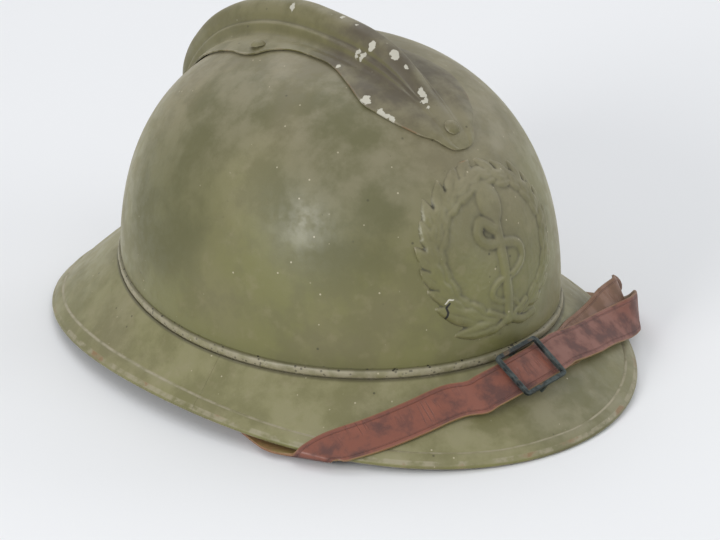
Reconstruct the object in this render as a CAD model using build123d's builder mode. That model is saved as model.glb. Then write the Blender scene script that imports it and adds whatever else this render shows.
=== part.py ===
from build123d import *
from math import acos, asin, cos, degrees, hypot, pi, radians, sin, sqrt
import os

# Steel helmet of the 1915 pattern, in millimetres. The front is -Y, the wearer's right is -X,
# and z = 0 is the table that the lowest points of the rim stand on.
# An angle round the helmet is 0 at the front and grows towards the wearer's right.

# Bowl
bowl_half_length = 110.0
bowl_half_width = 92.8
bowl_top_height = 143.1
bowl_power = 2.42
bead_front_height = 29.7
bead_side_height = 29.6
bead_rear_height = 40.7
sheet = 0.9
fit_gap = 0.3
seam_gap = 0.1
cut_overrun = 40.0
profile_steps = 12
shell_sections = 13
pole_share = 0.03

# Crimped seam between bowl and brim
roll_proud = 1.2
roll_above = 3.2
roll_below = 1.0
flange_rise = 2.6

# Brim
visor_reach = 42.6
side_reach = 20.3
neck_reach = 42.7
rim_side_lift = 7.4
rim_roll_radius = 1.3
seam_angle = 78.0
visor_sections = 15
guard_sections = 19

# Air slot in the top of the bowl
slot_length = 84.0
slot_width = 9.0
slot_centre_y = 14.0

# Crest, with each row: angle from the vertical, half width share, ridge share, crown width share
crest_half_width = 29.5
crest_ridge_height = 14.6
crest_crown_half_width = 7.0
crest_sheet = 0.7
crest_swell = 0.4
crest_gap = 0.7
crest_fan_height = 45.0
crest_channel_share = 1.75
crest_channel_lift_share = 0.08
crest_row_shares = (
    (-47.5, 0.14, 0.00, 0.20),
    (-45.0, 0.33, 0.00, 0.40),
    (-41.2, 0.46, 0.01, 0.50),
    (-36.3, 0.60, 0.06, 0.60),
    (-31.0, 0.69, 0.18, 0.72),
    (-25.6, 0.73, 0.43, 0.84),
    (-17.3, 0.68, 0.74, 0.95),
    (-8.7, 0.62, 0.86, 1.00),
    (0.0, 0.61, 0.92, 1.00),
    (7.0, 0.65, 0.98, 1.00),
    (11.5, 0.78, 1.00, 1.00),
    (15.0, 0.97, 1.00, 1.00),
    (19.0, 1.00, 0.97, 1.00),
    (24.0, 0.93, 0.92, 1.00),
    (31.0, 0.85, 0.86, 1.00),
    (39.0, 0.75, 0.83, 0.95),
    (47.0, 0.63, 0.80, 0.90),
    (55.0, 0.50, 0.72, 0.80),
    (61.0, 0.42, 0.50, 0.70),
    (65.5, 0.36, 0.15, 0.60),
    (70.5, 0.32, 0.01, 0.50),
    (74.0, 0.24, 0.00, 0.40),
    (76.5, 0.12, 0.00, 0.20),
)

# Crest rivets
rivet_head_radius = 3.6
rivet_head_height = 1.5
rivet_shank_radius = 1.6
rivet_tail_radius = 2.8
rivet_tail_height = 1.0
rivet_seat_gap = 0.4
rivet_front_y = -72.0
rivet_rear_y = 102.6
rivet_side_x = 22.5
rivet_side_y = 28.0

# Badge on the front of the bowl
badge_half_width = 38.5
badge_half_height = 35.8
badge_centre_height = 77.1
badge_thickness = 1.7
badge_stem_width = 2.4
badge_wreath_share = 0.83
leaf_length = 12.0
leaf_width = 5.2
leaf_pairs = 9
leaf_first_angle = 24.0
leaf_last_angle = 160.0
leaf_splay = 28.0
staff_width = 3.0
staff_height = 58.0
finial_half_width = 4.4
finial_half_height = 5.6
serpent_swing = 8.5
serpent_width = 3.6
serpent_waves = 1.5
serpent_height = 44.0
serpent_steps = 24
tie_half_width = 8.0
tie_half_height = 4.2
tail_length = 20.0
tail_width = 3.4
tail_angle = 62.0
prong_radius = 0.9
prong_reach = 32.0
prong_bend = 6.0
leaf_seat_share = 0.42
tail_share = 0.05
badge_cover_angle = 48.0
badge_cover_share = 0.55
badge_sections = 9

# Liner: corrugated spacers, cloth band, leather band with tongues, tabs and lace
spacer_low = 11.0
spacer_high = 29.0
spacer_depth = 4.0
spacer_sheet = 0.5
spacer_waves = 9
spacer_half_angle = 25.0
felt_low = 9.0
felt_high = 34.0
felt_thickness = 1.6
leather_low = 7.5
leather_thickness = 1.5
leather_crown_drop = 24.0
leather_band_height = 36.0
tongue_count = 7
tongue_gap = 5.0
tongue_hole_share = 0.27
liner_sections = 9
tab_width = 8.0
tab_thickness = 0.8
tab_foot_low = 3.6
tab_run_height = 5.6
tab_rise = 15.0
tab_angle = 45.0
lace_radius = 1.1
lace_ring_share = 0.36
lace_knot_radius = 3.2
lace_end_length = 24.0

# Bails and their clips on the inner wall, one at each side
hinge_rise = 5.6
barrel_radius = 2.0
barrel_bore = 1.25
barrel_length = 11.0
clip_plate_width = 15.0
clip_plate_low = 3.2
clip_plate_high = 9.5
clip_plate_thickness = 1.4
bail_wire_radius = 1.0
bail_drop = 15.0
bail_inset = 0.7
bail_corner_radius = 2.6

# Strap
strap_width = 17.5
strap_thickness = 1.8
strap_gap = 0.4
loop_tail = 7.0
bail_side_play = 1.0
strap_twist_step = 12.0

# Middle of the strap: it goes round the front as part of a wide cone about one tilted axis
strap_arc_radius = 99.0
strap_centre_x = -1.3
strap_centre_reach = 14.1
strap_centre_height = 27.8
strap_slope = 33.4
strap_axis_slope = 56.2
strap_heading = 5.5
front_arc_first = -18.0
front_arc_last = 16.0
front_arc_steps = 12

# Rows of the strap's edges on the brim: angle, brim share and lift share of the upper edge,
# then of the lower edge. A lift share counts in thicknesses of the strap.
front_right_shares = (
    (70.8, 0.87, -4.76, 69.3, 0.43, -10.77),
    (62.7, 1.05, -2.01, 58.9, 0.67, -7.37),
    (58.4, 1.12, -0.73, 51.8, 0.88, -4.26),
    (55.2, 1.09, -0.75, 46.4, 1.02, -1.68),
    (54.1, 1.08, 1.38, 45.1, 1.08, 1.24),
    (53.4, 0.92, 1.42, 44.7, 0.95, 1.50),
    (47.3, 0.74, 1.20, 43.0, 1.02, 1.30),
    (40.4, 0.52, 1.20, 36.9, 0.87, 1.20),
    (32.8, 0.34, 1.20, 29.8, 0.69, 1.20),
    (22.9, 0.18, 1.40, 20.3, 0.525, 1.40),
)
front_left_shares = (
    (-24.6, 0.14, 2.40, -22.3, 0.53, 2.40),
    (-33.2, 0.26, 2.60, -30.6, 0.67, 2.60),
    (-41.4, 0.52, 5.77, -39.3, 0.90, 2.40),
    (-45.7, 0.73, 8.47, -45.2, 1.09, 2.96),
    (-48.6, 0.84, 9.22, -48.8, 1.19, 2.66),
    (-53.0, 1.02, 8.85, -54.3, 1.31, 2.47),
    (-61.4, 1.46, 4.66, -60.1, 1.12, -2.70),
    (-66.1, 1.20, -0.29, -64.8, 0.81, -7.06),
    (-72.1, 0.97, -4.52, -70.3, 0.55, -10.79),
)
return_arc_shares = ((3.0, 0.02), (5.5, 0.035), (8.0, 0.05), (10.5, 0.065))
return_shares = (
    (-18.3, 0.06, 1.05, -16.4, 0.43, 0.95),
    (-27.4, 0.08, 0.95, -24.8, 0.46, 0.90),
    (-34.7, 0.15, 1.10, -31.8, 0.55, 0.95),
    (-41.0, 0.25, 3.20, -38.2, 0.68, 2.20),
    (-46.2, 0.36, 5.58, -43.6, 0.79, 3.88),
    (-52.0, 0.60, 8.77, -51.3, 1.02, 4.35),
    (-56.3, 0.79, 8.03, -56.0, 1.08, 3.33),
    (-62.0, 1.37, 4.70, -60.7, 1.03, -2.45),
    (-66.4, 1.12, 0.19, -65.1, 0.73, -6.54),
    (-72.1, 0.89, -3.80, -70.2, 0.47, -9.97),
)
# Rows of the spans under the brim, from the loop's end: outward, backward and upward places
# of the front edge, then of the back edge, in widths of the strap.
span_shares = (
    (0.0, -0.5, 0.0, 0.0, 0.5, 0.0),
    (0.05, -0.6, -0.18, -0.05, 0.4, -0.28),
    (0.27, -0.94, -0.37, -0.16, -0.09, -0.47),
    (0.5, -1.49, -0.46, -0.33, -0.97, -0.52),
)
inner_span_shares = (
    (0.0, -0.5, 0.0, 0.0, 0.5, 0.0),
    (0.07, -0.6, -0.13, -0.05, 0.4, -0.21),
    (0.32, -0.94, -0.21, -0.1, -0.09, -0.3),
    (0.63, -1.49, -0.3, -0.19, -0.97, -0.34),
)

# Buckle
buckle_bar = 2.0
buckle_rail_gap = 0.6
buckle_half_length = 13.4
buckle_corner_radius = 1.6
arc_dip = 0.3

os.makedirs("parts", exist_ok=True)

dome_height = bowl_top_height - bead_side_height
bead_tilt = (bead_rear_height - bead_front_height) / 2
bead_dip = (bead_rear_height + bead_front_height) / 2 - bead_side_height
rim_half_length = bowl_half_length + visor_reach


def bead_height(y):
    """Height of the seam line at a place along the helmet."""
    share = y / bowl_half_length
    return bead_side_height + bead_dip * share * share + bead_tilt * share


def wall_share(z):
    """Half size of the bowl at a height, as a share of its half size at the base."""
    climb = max(0.0, min(1.0, (z - bead_side_height) / dome_height))
    return (1 - climb**bowl_power) ** (1 / bowl_power)


def bowl_wall(angle, z, inward=0.0):
    """Point on the bowl's wall at an angle and a height, moved inward by a distance."""
    share = wall_share(z)
    return Vector(
        -(bowl_half_width * share - inward) * sin(radians(angle)),
        -(bowl_half_length * share - inward) * cos(radians(angle)),
        z,
    )


def bead_point(angle):
    """Point on the seam line at an angle."""
    return bowl_wall(angle, bead_height(-bowl_half_length * cos(radians(angle))))


def outward(angle):
    """Level direction that leaves the bowl squarely at an angle."""
    return Vector(
        -sin(radians(angle)) / bowl_half_width, -cos(radians(angle)) / bowl_half_length, 0
    ).normalized()


def brim_reach(angle):
    """Level width of the brim at an angle."""
    level = cos(radians(angle))
    end_reach = visor_reach if level > 0 else neck_reach
    return side_reach + (end_reach - side_reach) * level * level


def rim_height(angle):
    """Height of the middle of the rim's rolled edge."""
    return rim_roll_radius + rim_side_lift * sin(radians(angle)) ** 2


def brim_point(angle, share, lift=0.0):
    """Point above the brim: share 0 is the seam, 1 the rim, and lift stands square to it."""
    start = bead_point(angle)
    run = brim_reach(angle)
    fall = start.Z - rim_height(angle)
    slope = hypot(run, fall)
    level = share * run + lift * fall / slope
    return start + outward(angle) * level + Vector(0, 0, lift * run / slope - share * fall)


def shell_section(angle, side_cut, crown_cut, thickness, low_shift, top_share, roll=False):
    """Section of a sheet that follows the bowl's form, inside or outside it by set distances."""
    direction = Vector(
        -bowl_half_width * sin(radians(angle)), -bowl_half_length * cos(radians(angle)), 0
    ).normalized()

    def radius(cut):
        across = direction.X / (bowl_half_width - cut)
        along = direction.Y / (bowl_half_length - cut)
        return 1 / hypot(across, along)

    def curve(side, crown, low):
        height = dome_height - crown
        low_climb = max(0.0, min(1.0, (low - bead_side_height) / height))
        low_turn = asin(low_climb ** (bowl_power / 2))
        top_turn = acos(top_share ** (bowl_power / 2))
        points = []
        for step in range(profile_steps + 1):
            turn = top_turn + (low_turn - top_turn) * step / profile_steps
            points.append(
                (
                    radius(side) * cos(turn) ** (2 / bowl_power),
                    bead_side_height + height * sin(turn) ** (2 / bowl_power),
                )
            )
        return points

    seam = bead_height(direction.Y * radius(0))
    low = seam + low_shift
    outer = curve(side_cut, crown_cut, seam + roll_above if roll else low)
    inner = curve(side_cut + thickness, crown_cut + thickness, low)
    inner[-1] = (inner[-1][0], low)
    foot = outer[-1]
    proud = foot[0] + roll_proud
    middle = seam + (roll_above - roll_below) / 2
    plane = Plane(origin=(0, 0, 0), x_dir=direction, z_dir=direction.cross(Vector(0, 0, 1)))
    with BuildSketch(plane) as section:
        with BuildLine():
            Spline(*outer)
            if roll:
                ThreePointArc(foot, (proud, middle), (foot[0], low))
                Line((foot[0], low), inner[-1])
            else:
                Line(foot, inner[-1])
            Spline(*inner)
            Line(inner[0], outer[0])
        make_face()
    return section.sketch


def shell(first, last, count, *form, roll=False):
    """Sheet that follows the bowl's form from one angle to another."""
    with BuildPart() as sheet_part:
        for step in range(count):
            angle = first + (last - first) * step / (count - 1)
            add(shell_section(angle, *form, roll=roll))
        loft()
    return sheet_part.part


def above_bead(shift):
    """Block of all that lies higher than the seam line moved up by a distance."""
    far = rim_half_length
    top = bowl_top_height + cut_overrun
    with BuildPart() as block:
        with BuildSketch(Plane.YZ):
            with BuildLine():
                ThreePointArc(
                    (-far, bead_height(-far) + shift),
                    (0, bead_height(0) + shift),
                    (far, bead_height(far) + shift),
                )
                Polyline(
                    (far, bead_height(far) + shift),
                    (far, top),
                    (-far, top),
                    (-far, bead_height(-far) + shift),
                )
            make_face()
        extrude(amount=far, both=True)
    return block.part


def bowl_top_point(x, y):
    """Point on the outside of the bowl over a place on the plan."""
    share = hypot(x / bowl_half_width, y / bowl_half_length)
    return Vector(x, y, bead_side_height + dome_height * (1 - share**bowl_power) ** (1 / bowl_power))


def bowl_normal(point):
    """Direction that leaves the bowl squarely at a point on its outside."""
    share = hypot(point.X / bowl_half_width, point.Y / bowl_half_length)
    climb = (point.Z - bead_side_height) / dome_height
    across = share ** (bowl_power - 2)
    return Vector(
        across * point.X / bowl_half_width**2,
        across * point.Y / bowl_half_length**2,
        climb ** (bowl_power - 1) / dome_height,
    ).normalized()


def bowl_plane(x, y):
    """Plane that lies on the outside of the bowl over a place on the plan."""
    point = bowl_top_point(x, y)
    normal = bowl_normal(point)
    return Plane(origin=point, x_dir=Vector(1, 0, 0) - normal * normal.X, z_dir=normal)


def save(part, label):
    """Label a finished piece and write it."""
    part.label = label
    export_step(part, f"parts/{label}.step")
    print(label, "volume", round(part.volume, 1), "valid", part.is_valid)


# Places of the crest rivets and of the badge's prongs, as planes on the bowl
rivet_planes = {
    "crest_rivet_front": bowl_plane(0, rivet_front_y),
    "crest_rivet_rear": bowl_plane(0, rivet_rear_y),
    "crest_rivet_right": bowl_plane(-rivet_side_x, rivet_side_y),
    "crest_rivet_left": bowl_plane(rivet_side_x, rivet_side_y),
}


def front_bowl_plane(x, z):
    """Plane on the front of the bowl at a place of the front view."""
    share = wall_share(z)
    y = -bowl_half_length * sqrt(share * share - (x / bowl_half_width) ** 2)
    return bowl_plane(x, y)


prong_planes = [
    front_bowl_plane(side * prong_reach, badge_centre_height) for side in (-1, 1)
]

# Bowl: pressed shell, the crimped roll at its lower edge, the air slot and the fixing holes
bowl_form = (0, 0, sheet, -roll_below, pole_share)
with BuildPart() as bowl:
    add(shell(-90, 90, shell_sections, *bowl_form, roll=True))
    add(shell(90, 270, shell_sections, *bowl_form, roll=True))
    with BuildSketch(Plane.XY.offset(bowl_top_height - cut_overrun)):
        with Locations((0, slot_centre_y)):
            SlotOverall(slot_length, slot_width, rotation=90)
    extrude(amount=cut_overrun + cut_overrun, mode=Mode.SUBTRACT)
    for plane in rivet_planes.values():
        with BuildSketch(plane):
            Circle(rivet_shank_radius + seam_gap)
        extrude(amount=rivet_tail_radius + sheet, both=True, mode=Mode.SUBTRACT)
    for plane in prong_planes:
        with BuildSketch(plane):
            Circle(prong_radius + fit_gap)
        extrude(amount=prong_bend, both=True, mode=Mode.SUBTRACT)
save(bowl.part, "bowl")


def brim_section(angle):
    """Section of the brim: inner flange, shelf under the seam, slope and rolled edge."""
    start = bead_point(angle)
    away = outward(angle)
    reach = brim_reach(angle)
    rim = rim_height(angle)
    radius = rim_roll_radius
    shelf = start.Z - roll_below - seam_gap
    wall = -sheet - fit_gap
    flange = start.Z + flange_rise
    fall = (shelf - rim - radius) / (reach - radius - roll_proud)
    thick = sheet * sqrt(1 + fall * fall)
    inner = reach - 3 * radius
    chord = radius * sqrt(2) / 2
    plane = Plane(
        origin=(start.X, start.Y, 0), x_dir=away, z_dir=away.cross(Vector(0, 0, 1))
    )
    with BuildSketch(plane) as section:
        with BuildLine():
            Polyline(
                (wall, flange), (wall, shelf), (roll_proud, shelf), (reach - radius, rim + radius)
            )
            ThreePointArc(
                (reach - radius, rim + radius), (reach, rim), (reach - radius, rim - radius)
            )
            ThreePointArc(
                (reach - radius, rim - radius),
                (reach - radius - chord, rim - chord),
                (reach - 2 * radius, rim),
            )
            Polyline(
                (reach - 2 * radius, rim),
                (inner, shelf - thick - fall * (inner - roll_proud)),
                (roll_proud - sheet / 2, shelf - sheet),
                (wall - sheet, shelf - sheet),
                (wall - sheet, flange),
                (wall, flange),
            )
        make_face()
    return section.sketch


def brim_half(first, last, count):
    """Half of the brim from one seam to the other."""
    with BuildPart() as half:
        for step in range(count):
            angle = first + (last - first) * step / (count - 1)
            add(brim_section(angle))
        loft()
    return half.part


save(brim_half(-seam_angle, seam_angle, visor_sections), "front_visor")
save(brim_half(seam_angle, 360 - seam_angle, guard_sections), "neck_guard")


def fan_radius(x, angle):
    """Distance of the bowl's outside from the fan's middle line, at an angle from the vertical."""
    low = 0.0
    high = rim_half_length
    while high - low > seam_gap * seam_gap * seam_gap:
        middle = (low + high) / 2
        y = middle * sin(radians(angle))
        z = crest_fan_height + middle * cos(radians(angle))
        share = hypot(x / bowl_half_width, y / bowl_half_length)
        climb = max(0.0, (z - bead_side_height) / dome_height)
        if share**bowl_power + climb**bowl_power < 1:
            low = middle
        else:
            high = middle
    return low


def crest_outline(row):
    """Upper points of a crest section, from its right edge to its left edge."""
    angle, width_share, ridge_share, crown_share = row
    half = crest_half_width * width_share
    ridge = crest_ridge_height * ridge_share
    crown = min(crest_crown_half_width * crown_share, half / (crest_channel_share * sqrt(2)))
    channel = crown * crest_channel_share
    side_shares = (
        (crown * 0.5, ridge * 0.92),
        (crown * 0.93, ridge * 0.62),
        (crown * 1.3, ridge * 0.2),
        (channel, ridge * crest_channel_lift_share),
        ((channel + half) / 2, crest_swell * min(1.0, width_share * 2)),
        (half, 0.0),
    )
    rise = crest_gap + crest_sheet
    right = [(-x, rise + h) for x, h in reversed(side_shares)]
    left = [(x, rise + h) for x, h in side_shares]
    profile = right + [(0.0, rise + ridge)] + left
    return [(x, fan_radius(x, angle) + h) for x, h in profile]


def offset_points(points, distance):
    """Points of an outline moved square to it."""
    moved = []
    last = len(points) - 1
    for place, (x, y) in enumerate(points):
        before = points[max(place - 1, 0)]
        after = points[min(place + 1, last)]
        run = after[0] - before[0]
        climb = after[1] - before[1]
        length = hypot(run, climb)
        moved.append((x + distance * climb / length, y - distance * run / length))
    return moved


# Crest: thin stamped ridge with a channel and a flange on each side
with BuildPart() as crest:
    for row in crest_row_shares:
        upper = crest_outline(row)
        lower = offset_points(upper, crest_sheet)
        fan = radians(row[0])
        with BuildSketch(
            Plane(
                origin=(0, 0, crest_fan_height),
                x_dir=(1, 0, 0),
                z_dir=(0, -cos(fan), sin(fan)),
            )
        ):
            with BuildLine():
                Spline(*upper)
                Spline(*lower)
                Line(upper[0], lower[0])
                Line(upper[-1], lower[-1])
            make_face()
    loft()
    for plane in rivet_planes.values():
        with BuildSketch(plane):
            Circle(rivet_shank_radius + seam_gap)
        extrude(amount=rivet_tail_radius + sheet, both=True, mode=Mode.SUBTRACT)
save(crest.part, "crest")

# Crest rivets: domed head on the crest, shank through crest and bowl, peened tail inside
cap_radius = (rivet_head_radius**2 + rivet_head_height**2) / (2 * rivet_head_height)
cap_turn = asin(rivet_head_radius / cap_radius)
for label, plane in rivet_planes.items():
    side_rivet = label in ("crest_rivet_left", "crest_rivet_right")
    seat = crest_gap + crest_sheet + rivet_seat_gap + (crest_swell if side_rivet else 0.0)
    tail = -sheet - seam_gap - seam_gap
    with BuildPart() as rivet:
        with BuildSketch(Plane(origin=plane.origin, x_dir=plane.x_dir, z_dir=-plane.y_dir)):
            with BuildLine():
                Polyline(
                    (0, seat + rivet_head_height),
                    (0, tail - rivet_tail_height),
                    (rivet_tail_radius, tail - rivet_tail_height),
                    (rivet_tail_radius, tail),
                    (rivet_shank_radius, tail),
                    (rivet_shank_radius, seat),
                    (rivet_head_radius, seat),
                )
                ThreePointArc(
                    (rivet_head_radius, seat),
                    (
                        cap_radius * sin(cap_turn / 2),
                        seat + rivet_head_height - cap_radius * (1 - cos(cap_turn / 2)),
                    ),
                    (0, seat + rivet_head_height),
                )
            make_face()
        revolve(axis=Axis(origin=plane.origin, direction=plane.z_dir))
    save(rivet.part, label)


# Badge: openwork wreath with a staff and a serpent, which follows the bowl, and two prongs
def badge_place(turn, side):
    """Place and direction on the wreath's stem, by the angle from its foot."""
    reach = badge_half_width * badge_wreath_share
    rise = badge_half_height * badge_wreath_share
    place = Vector(side * reach * sin(radians(turn)), -rise * cos(radians(turn)), 0)
    way = Vector(side * reach * cos(radians(turn)), rise * sin(radians(turn)), 0).normalized()
    return place, way


def serpent_edge(side):
    """Edge points of the serpent from tail to head."""
    points = []
    for step in range(serpent_steps + 1):
        share = step / serpent_steps
        swing = serpent_swing * (1 - share / 2) * sin(2 * pi * serpent_waves * share)
        half = serpent_width / 2 * min(1.0, sqrt(share + tail_share))
        points.append((swing + side * half, serpent_height * (share - 1 / 2)))
    return points


badge_plane = Plane.XZ.offset(bowl_half_length / 2)
badge_centre = Plane(
    origin=badge_plane.origin + Vector(0, 0, badge_centre_height),
    x_dir=badge_plane.x_dir,
    z_dir=badge_plane.z_dir,
)
badge_proud = fit_gap + badge_thickness
with BuildPart() as badge:
    with BuildSketch(badge_centre):
        Ellipse(
            badge_half_width * badge_wreath_share + badge_stem_width / 2,
            badge_half_height * badge_wreath_share + badge_stem_width / 2,
        )
        Ellipse(
            badge_half_width * badge_wreath_share - badge_stem_width / 2,
            badge_half_height * badge_wreath_share - badge_stem_width / 2,
            mode=Mode.SUBTRACT,
        )
        for side in (-1, 1):
            for leaf in range(leaf_pairs):
                turn_share = leaf / (leaf_pairs - 1)
                turn = leaf_first_angle + (leaf_last_angle - leaf_first_angle) * turn_share
                place, way = badge_place(turn, side)
                for splay in (-leaf_splay, leaf_splay):
                    leaf_way = way.rotate(Axis.Z, splay)
                    leaf_middle = place + leaf_way * (leaf_length * leaf_seat_share)
                    with Locations(leaf_middle):
                        Ellipse(
                            leaf_length / 2,
                            leaf_width / 2,
                            rotation=Vector(1, 0, 0).get_signed_angle(leaf_way, Vector(0, 0, 1)),
                        )
            with Locations(
                (side * tie_half_width / 2, -badge_half_height * badge_wreath_share, 0)
            ):
                Rectangle(tail_length, tail_width, rotation=-side * tail_angle)
        Rectangle(staff_width, staff_height)
        with Locations((0, staff_height / 2)):
            Ellipse(finial_half_width, finial_half_height)
        with Locations((0, -badge_half_height * badge_wreath_share)):
            Ellipse(tie_half_width, tie_half_height)
        with BuildLine():
            Spline(*serpent_edge(-1))
            Spline(*serpent_edge(1))
            Line(serpent_edge(-1)[0], serpent_edge(1)[0])
            Line(serpent_edge(-1)[-1], serpent_edge(1)[-1])
        make_face()
    extrude(amount=bowl_half_length)
    add(
        shell(
            -badge_cover_angle,
            badge_cover_angle,
            badge_sections,
            -badge_proud,
            -badge_proud,
            badge_thickness,
            roll_above + roll_above,
            badge_cover_share,
        ),
        mode=Mode.INTERSECT,
    )
    for plane in prong_planes:
        heel = plane.origin - plane.z_dir * (sheet + prong_bend / 2)
        with BuildLine() as prong:
            FilletPolyline(
                plane.origin + plane.z_dir * (fit_gap + badge_thickness / 2),
                heel,
                heel + plane.y_dir * prong_bend,
                radius=prong_radius + fit_gap,
            )
        with BuildSketch(prong.line ^ 0):
            Circle(prong_radius)
        sweep(path=prong.line)
save(badge.part, "badge")

# Liner places, as distances inward from the bowl's outside at the seam
rear_top = bead_rear_height + spacer_high
liner_clear = sheet + fit_gap + bowl_half_length * (1 - wall_share(rear_top)) + spacer_depth
felt_clear = liner_clear + fit_gap
leather_clear = felt_clear + felt_thickness + fit_gap
leather_height = dome_height - leather_crown_drop

spacer_angles = {
    "spacer_front": 0,
    "spacer_right": 90,
    "spacer_rear": 180,
    "spacer_left": 270,
}
for label, middle in spacer_angles.items():
    ends = (middle - spacer_half_angle, middle + spacer_half_angle)
    top = max(bead_point(angle).Z for angle in ends) + spacer_high
    near_wall = sheet + fit_gap + bowl_half_length * (1 - wall_share(top))
    outer_line = []
    inner_line = []
    for step in range(2 * spacer_waves + 1):
        angle = ends[0] + (ends[1] - ends[0]) * step / (2 * spacer_waves)
        ridge = near_wall if step % 2 else liner_clear - spacer_sheet
        outer_line.append(bowl_wall(angle, 0, ridge))
        inner_line.append(bowl_wall(angle, 0, ridge + spacer_sheet))
    outline = [(point.X, point.Y) for point in outer_line + inner_line[::-1]]
    with BuildPart() as spacer:
        with BuildSketch(Plane.XY.offset(bead_side_height)):
            with BuildLine():
                Polyline(*outline, close=True)
            make_face()
        extrude(amount=top)
        add(above_bead(spacer_low), mode=Mode.INTERSECT)
        add(above_bead(spacer_high), mode=Mode.SUBTRACT)
    save(spacer.part, label)

with BuildPart() as liner_felt:
    with BuildSketch(Plane.XY.offset(bead_side_height)):
        Ellipse(bowl_half_width - felt_clear, bowl_half_length - felt_clear)
        Ellipse(
            bowl_half_width - felt_clear - felt_thickness,
            bowl_half_length - felt_clear - felt_thickness,
            mode=Mode.SUBTRACT,
        )
    extrude(amount=bead_rear_height + felt_high)
    add(above_bead(felt_low), mode=Mode.INTERSECT)
    add(above_bead(felt_high), mode=Mode.SUBTRACT)
save(liner_felt.part, "liner_felt")

leather_form = (
    leather_clear,
    leather_crown_drop,
    leather_thickness,
    leather_low,
    tongue_hole_share,
)
with BuildPart() as liner_leather:
    add(shell(-90, 90, liner_sections, *leather_form))
    add(shell(90, 270, liner_sections, *leather_form))
    with Locations((0, 0, bead_rear_height + leather_band_height)):
        with PolarLocations(bowl_half_length / 2, tongue_count, start_angle=90):
            Box(
                bowl_half_length,
                tongue_gap,
                bowl_top_height,
                align=(Align.CENTER, Align.CENTER, Align.MIN),
                mode=Mode.SUBTRACT,
            )
save(liner_leather.part, "liner_leather")

# Tabs soldered to the wall, each folded under the liner and up inside it
tab_solids = []
for angle in (tab_angle, 180 - tab_angle, 180 + tab_angle, 360 - tab_angle):
    start = bead_point(angle)
    away = outward(angle)
    wall = -sheet - fit_gap
    run_z = start.Z + tab_run_height
    top_climb = (start.Z + tab_rise - bead_side_height) / leather_height
    leather_share = (1 - top_climb**bowl_power) ** (1 / bowl_power)
    inner = -(
        leather_clear + leather_thickness + fit_gap + bowl_half_length * (1 - leather_share)
    )
    tab_plane = Plane(
        origin=(start.X, start.Y, 0), x_dir=away, z_dir=away.cross(Vector(0, 0, 1))
    )
    with BuildPart() as tab:
        with BuildSketch(tab_plane):
            with BuildLine():
                Polyline(
                    (wall, start.Z + tab_foot_low),
                    (wall, run_z + tab_thickness),
                    (inner, run_z + tab_thickness),
                    (inner, start.Z + tab_rise),
                    (inner - tab_thickness, start.Z + tab_rise),
                    (inner - tab_thickness, run_z),
                    (wall - tab_thickness, run_z),
                    (wall - tab_thickness, start.Z + tab_foot_low),
                    close=True,
                )
            make_face()
        extrude(amount=tab_width / 2, both=True)
    tab_solids += tab.part.solids()
save(Part(children=tab_solids), "liner_tabs")

# Lace that gathers the tongues, with its knot at the front
lace_ring = lace_ring_share * (bowl_half_width - leather_clear - leather_thickness)
lace_top = bead_side_height + (leather_height - leather_thickness) * (
    1 - lace_ring_share**bowl_power
) ** (1 / bowl_power)
lace_z = lace_top - lace_radius - fit_gap
knot_z = lace_z - lace_knot_radius / 2
with BuildPart() as liner_lace:
    with Locations((0, 0, lace_z)):
        Torus(lace_ring, lace_radius)
    with Locations((0, -lace_ring, knot_z)):
        Sphere(lace_knot_radius)
    for side in (-1, 1):
        with BuildLine() as lace_end:
            ThreePointArc(
                (side * lace_knot_radius / 2, -lace_ring, knot_z),
                (side * lace_end_length / 4, -lace_ring, knot_z - lace_end_length / 2),
                (side * lace_end_length / 3, -lace_ring, knot_z - lace_end_length),
            )
        with BuildSketch(lace_end.line ^ 0):
            Circle(lace_radius)
        sweep(path=lace_end.line)
save(liner_lace.part, "liner_lace")

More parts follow.
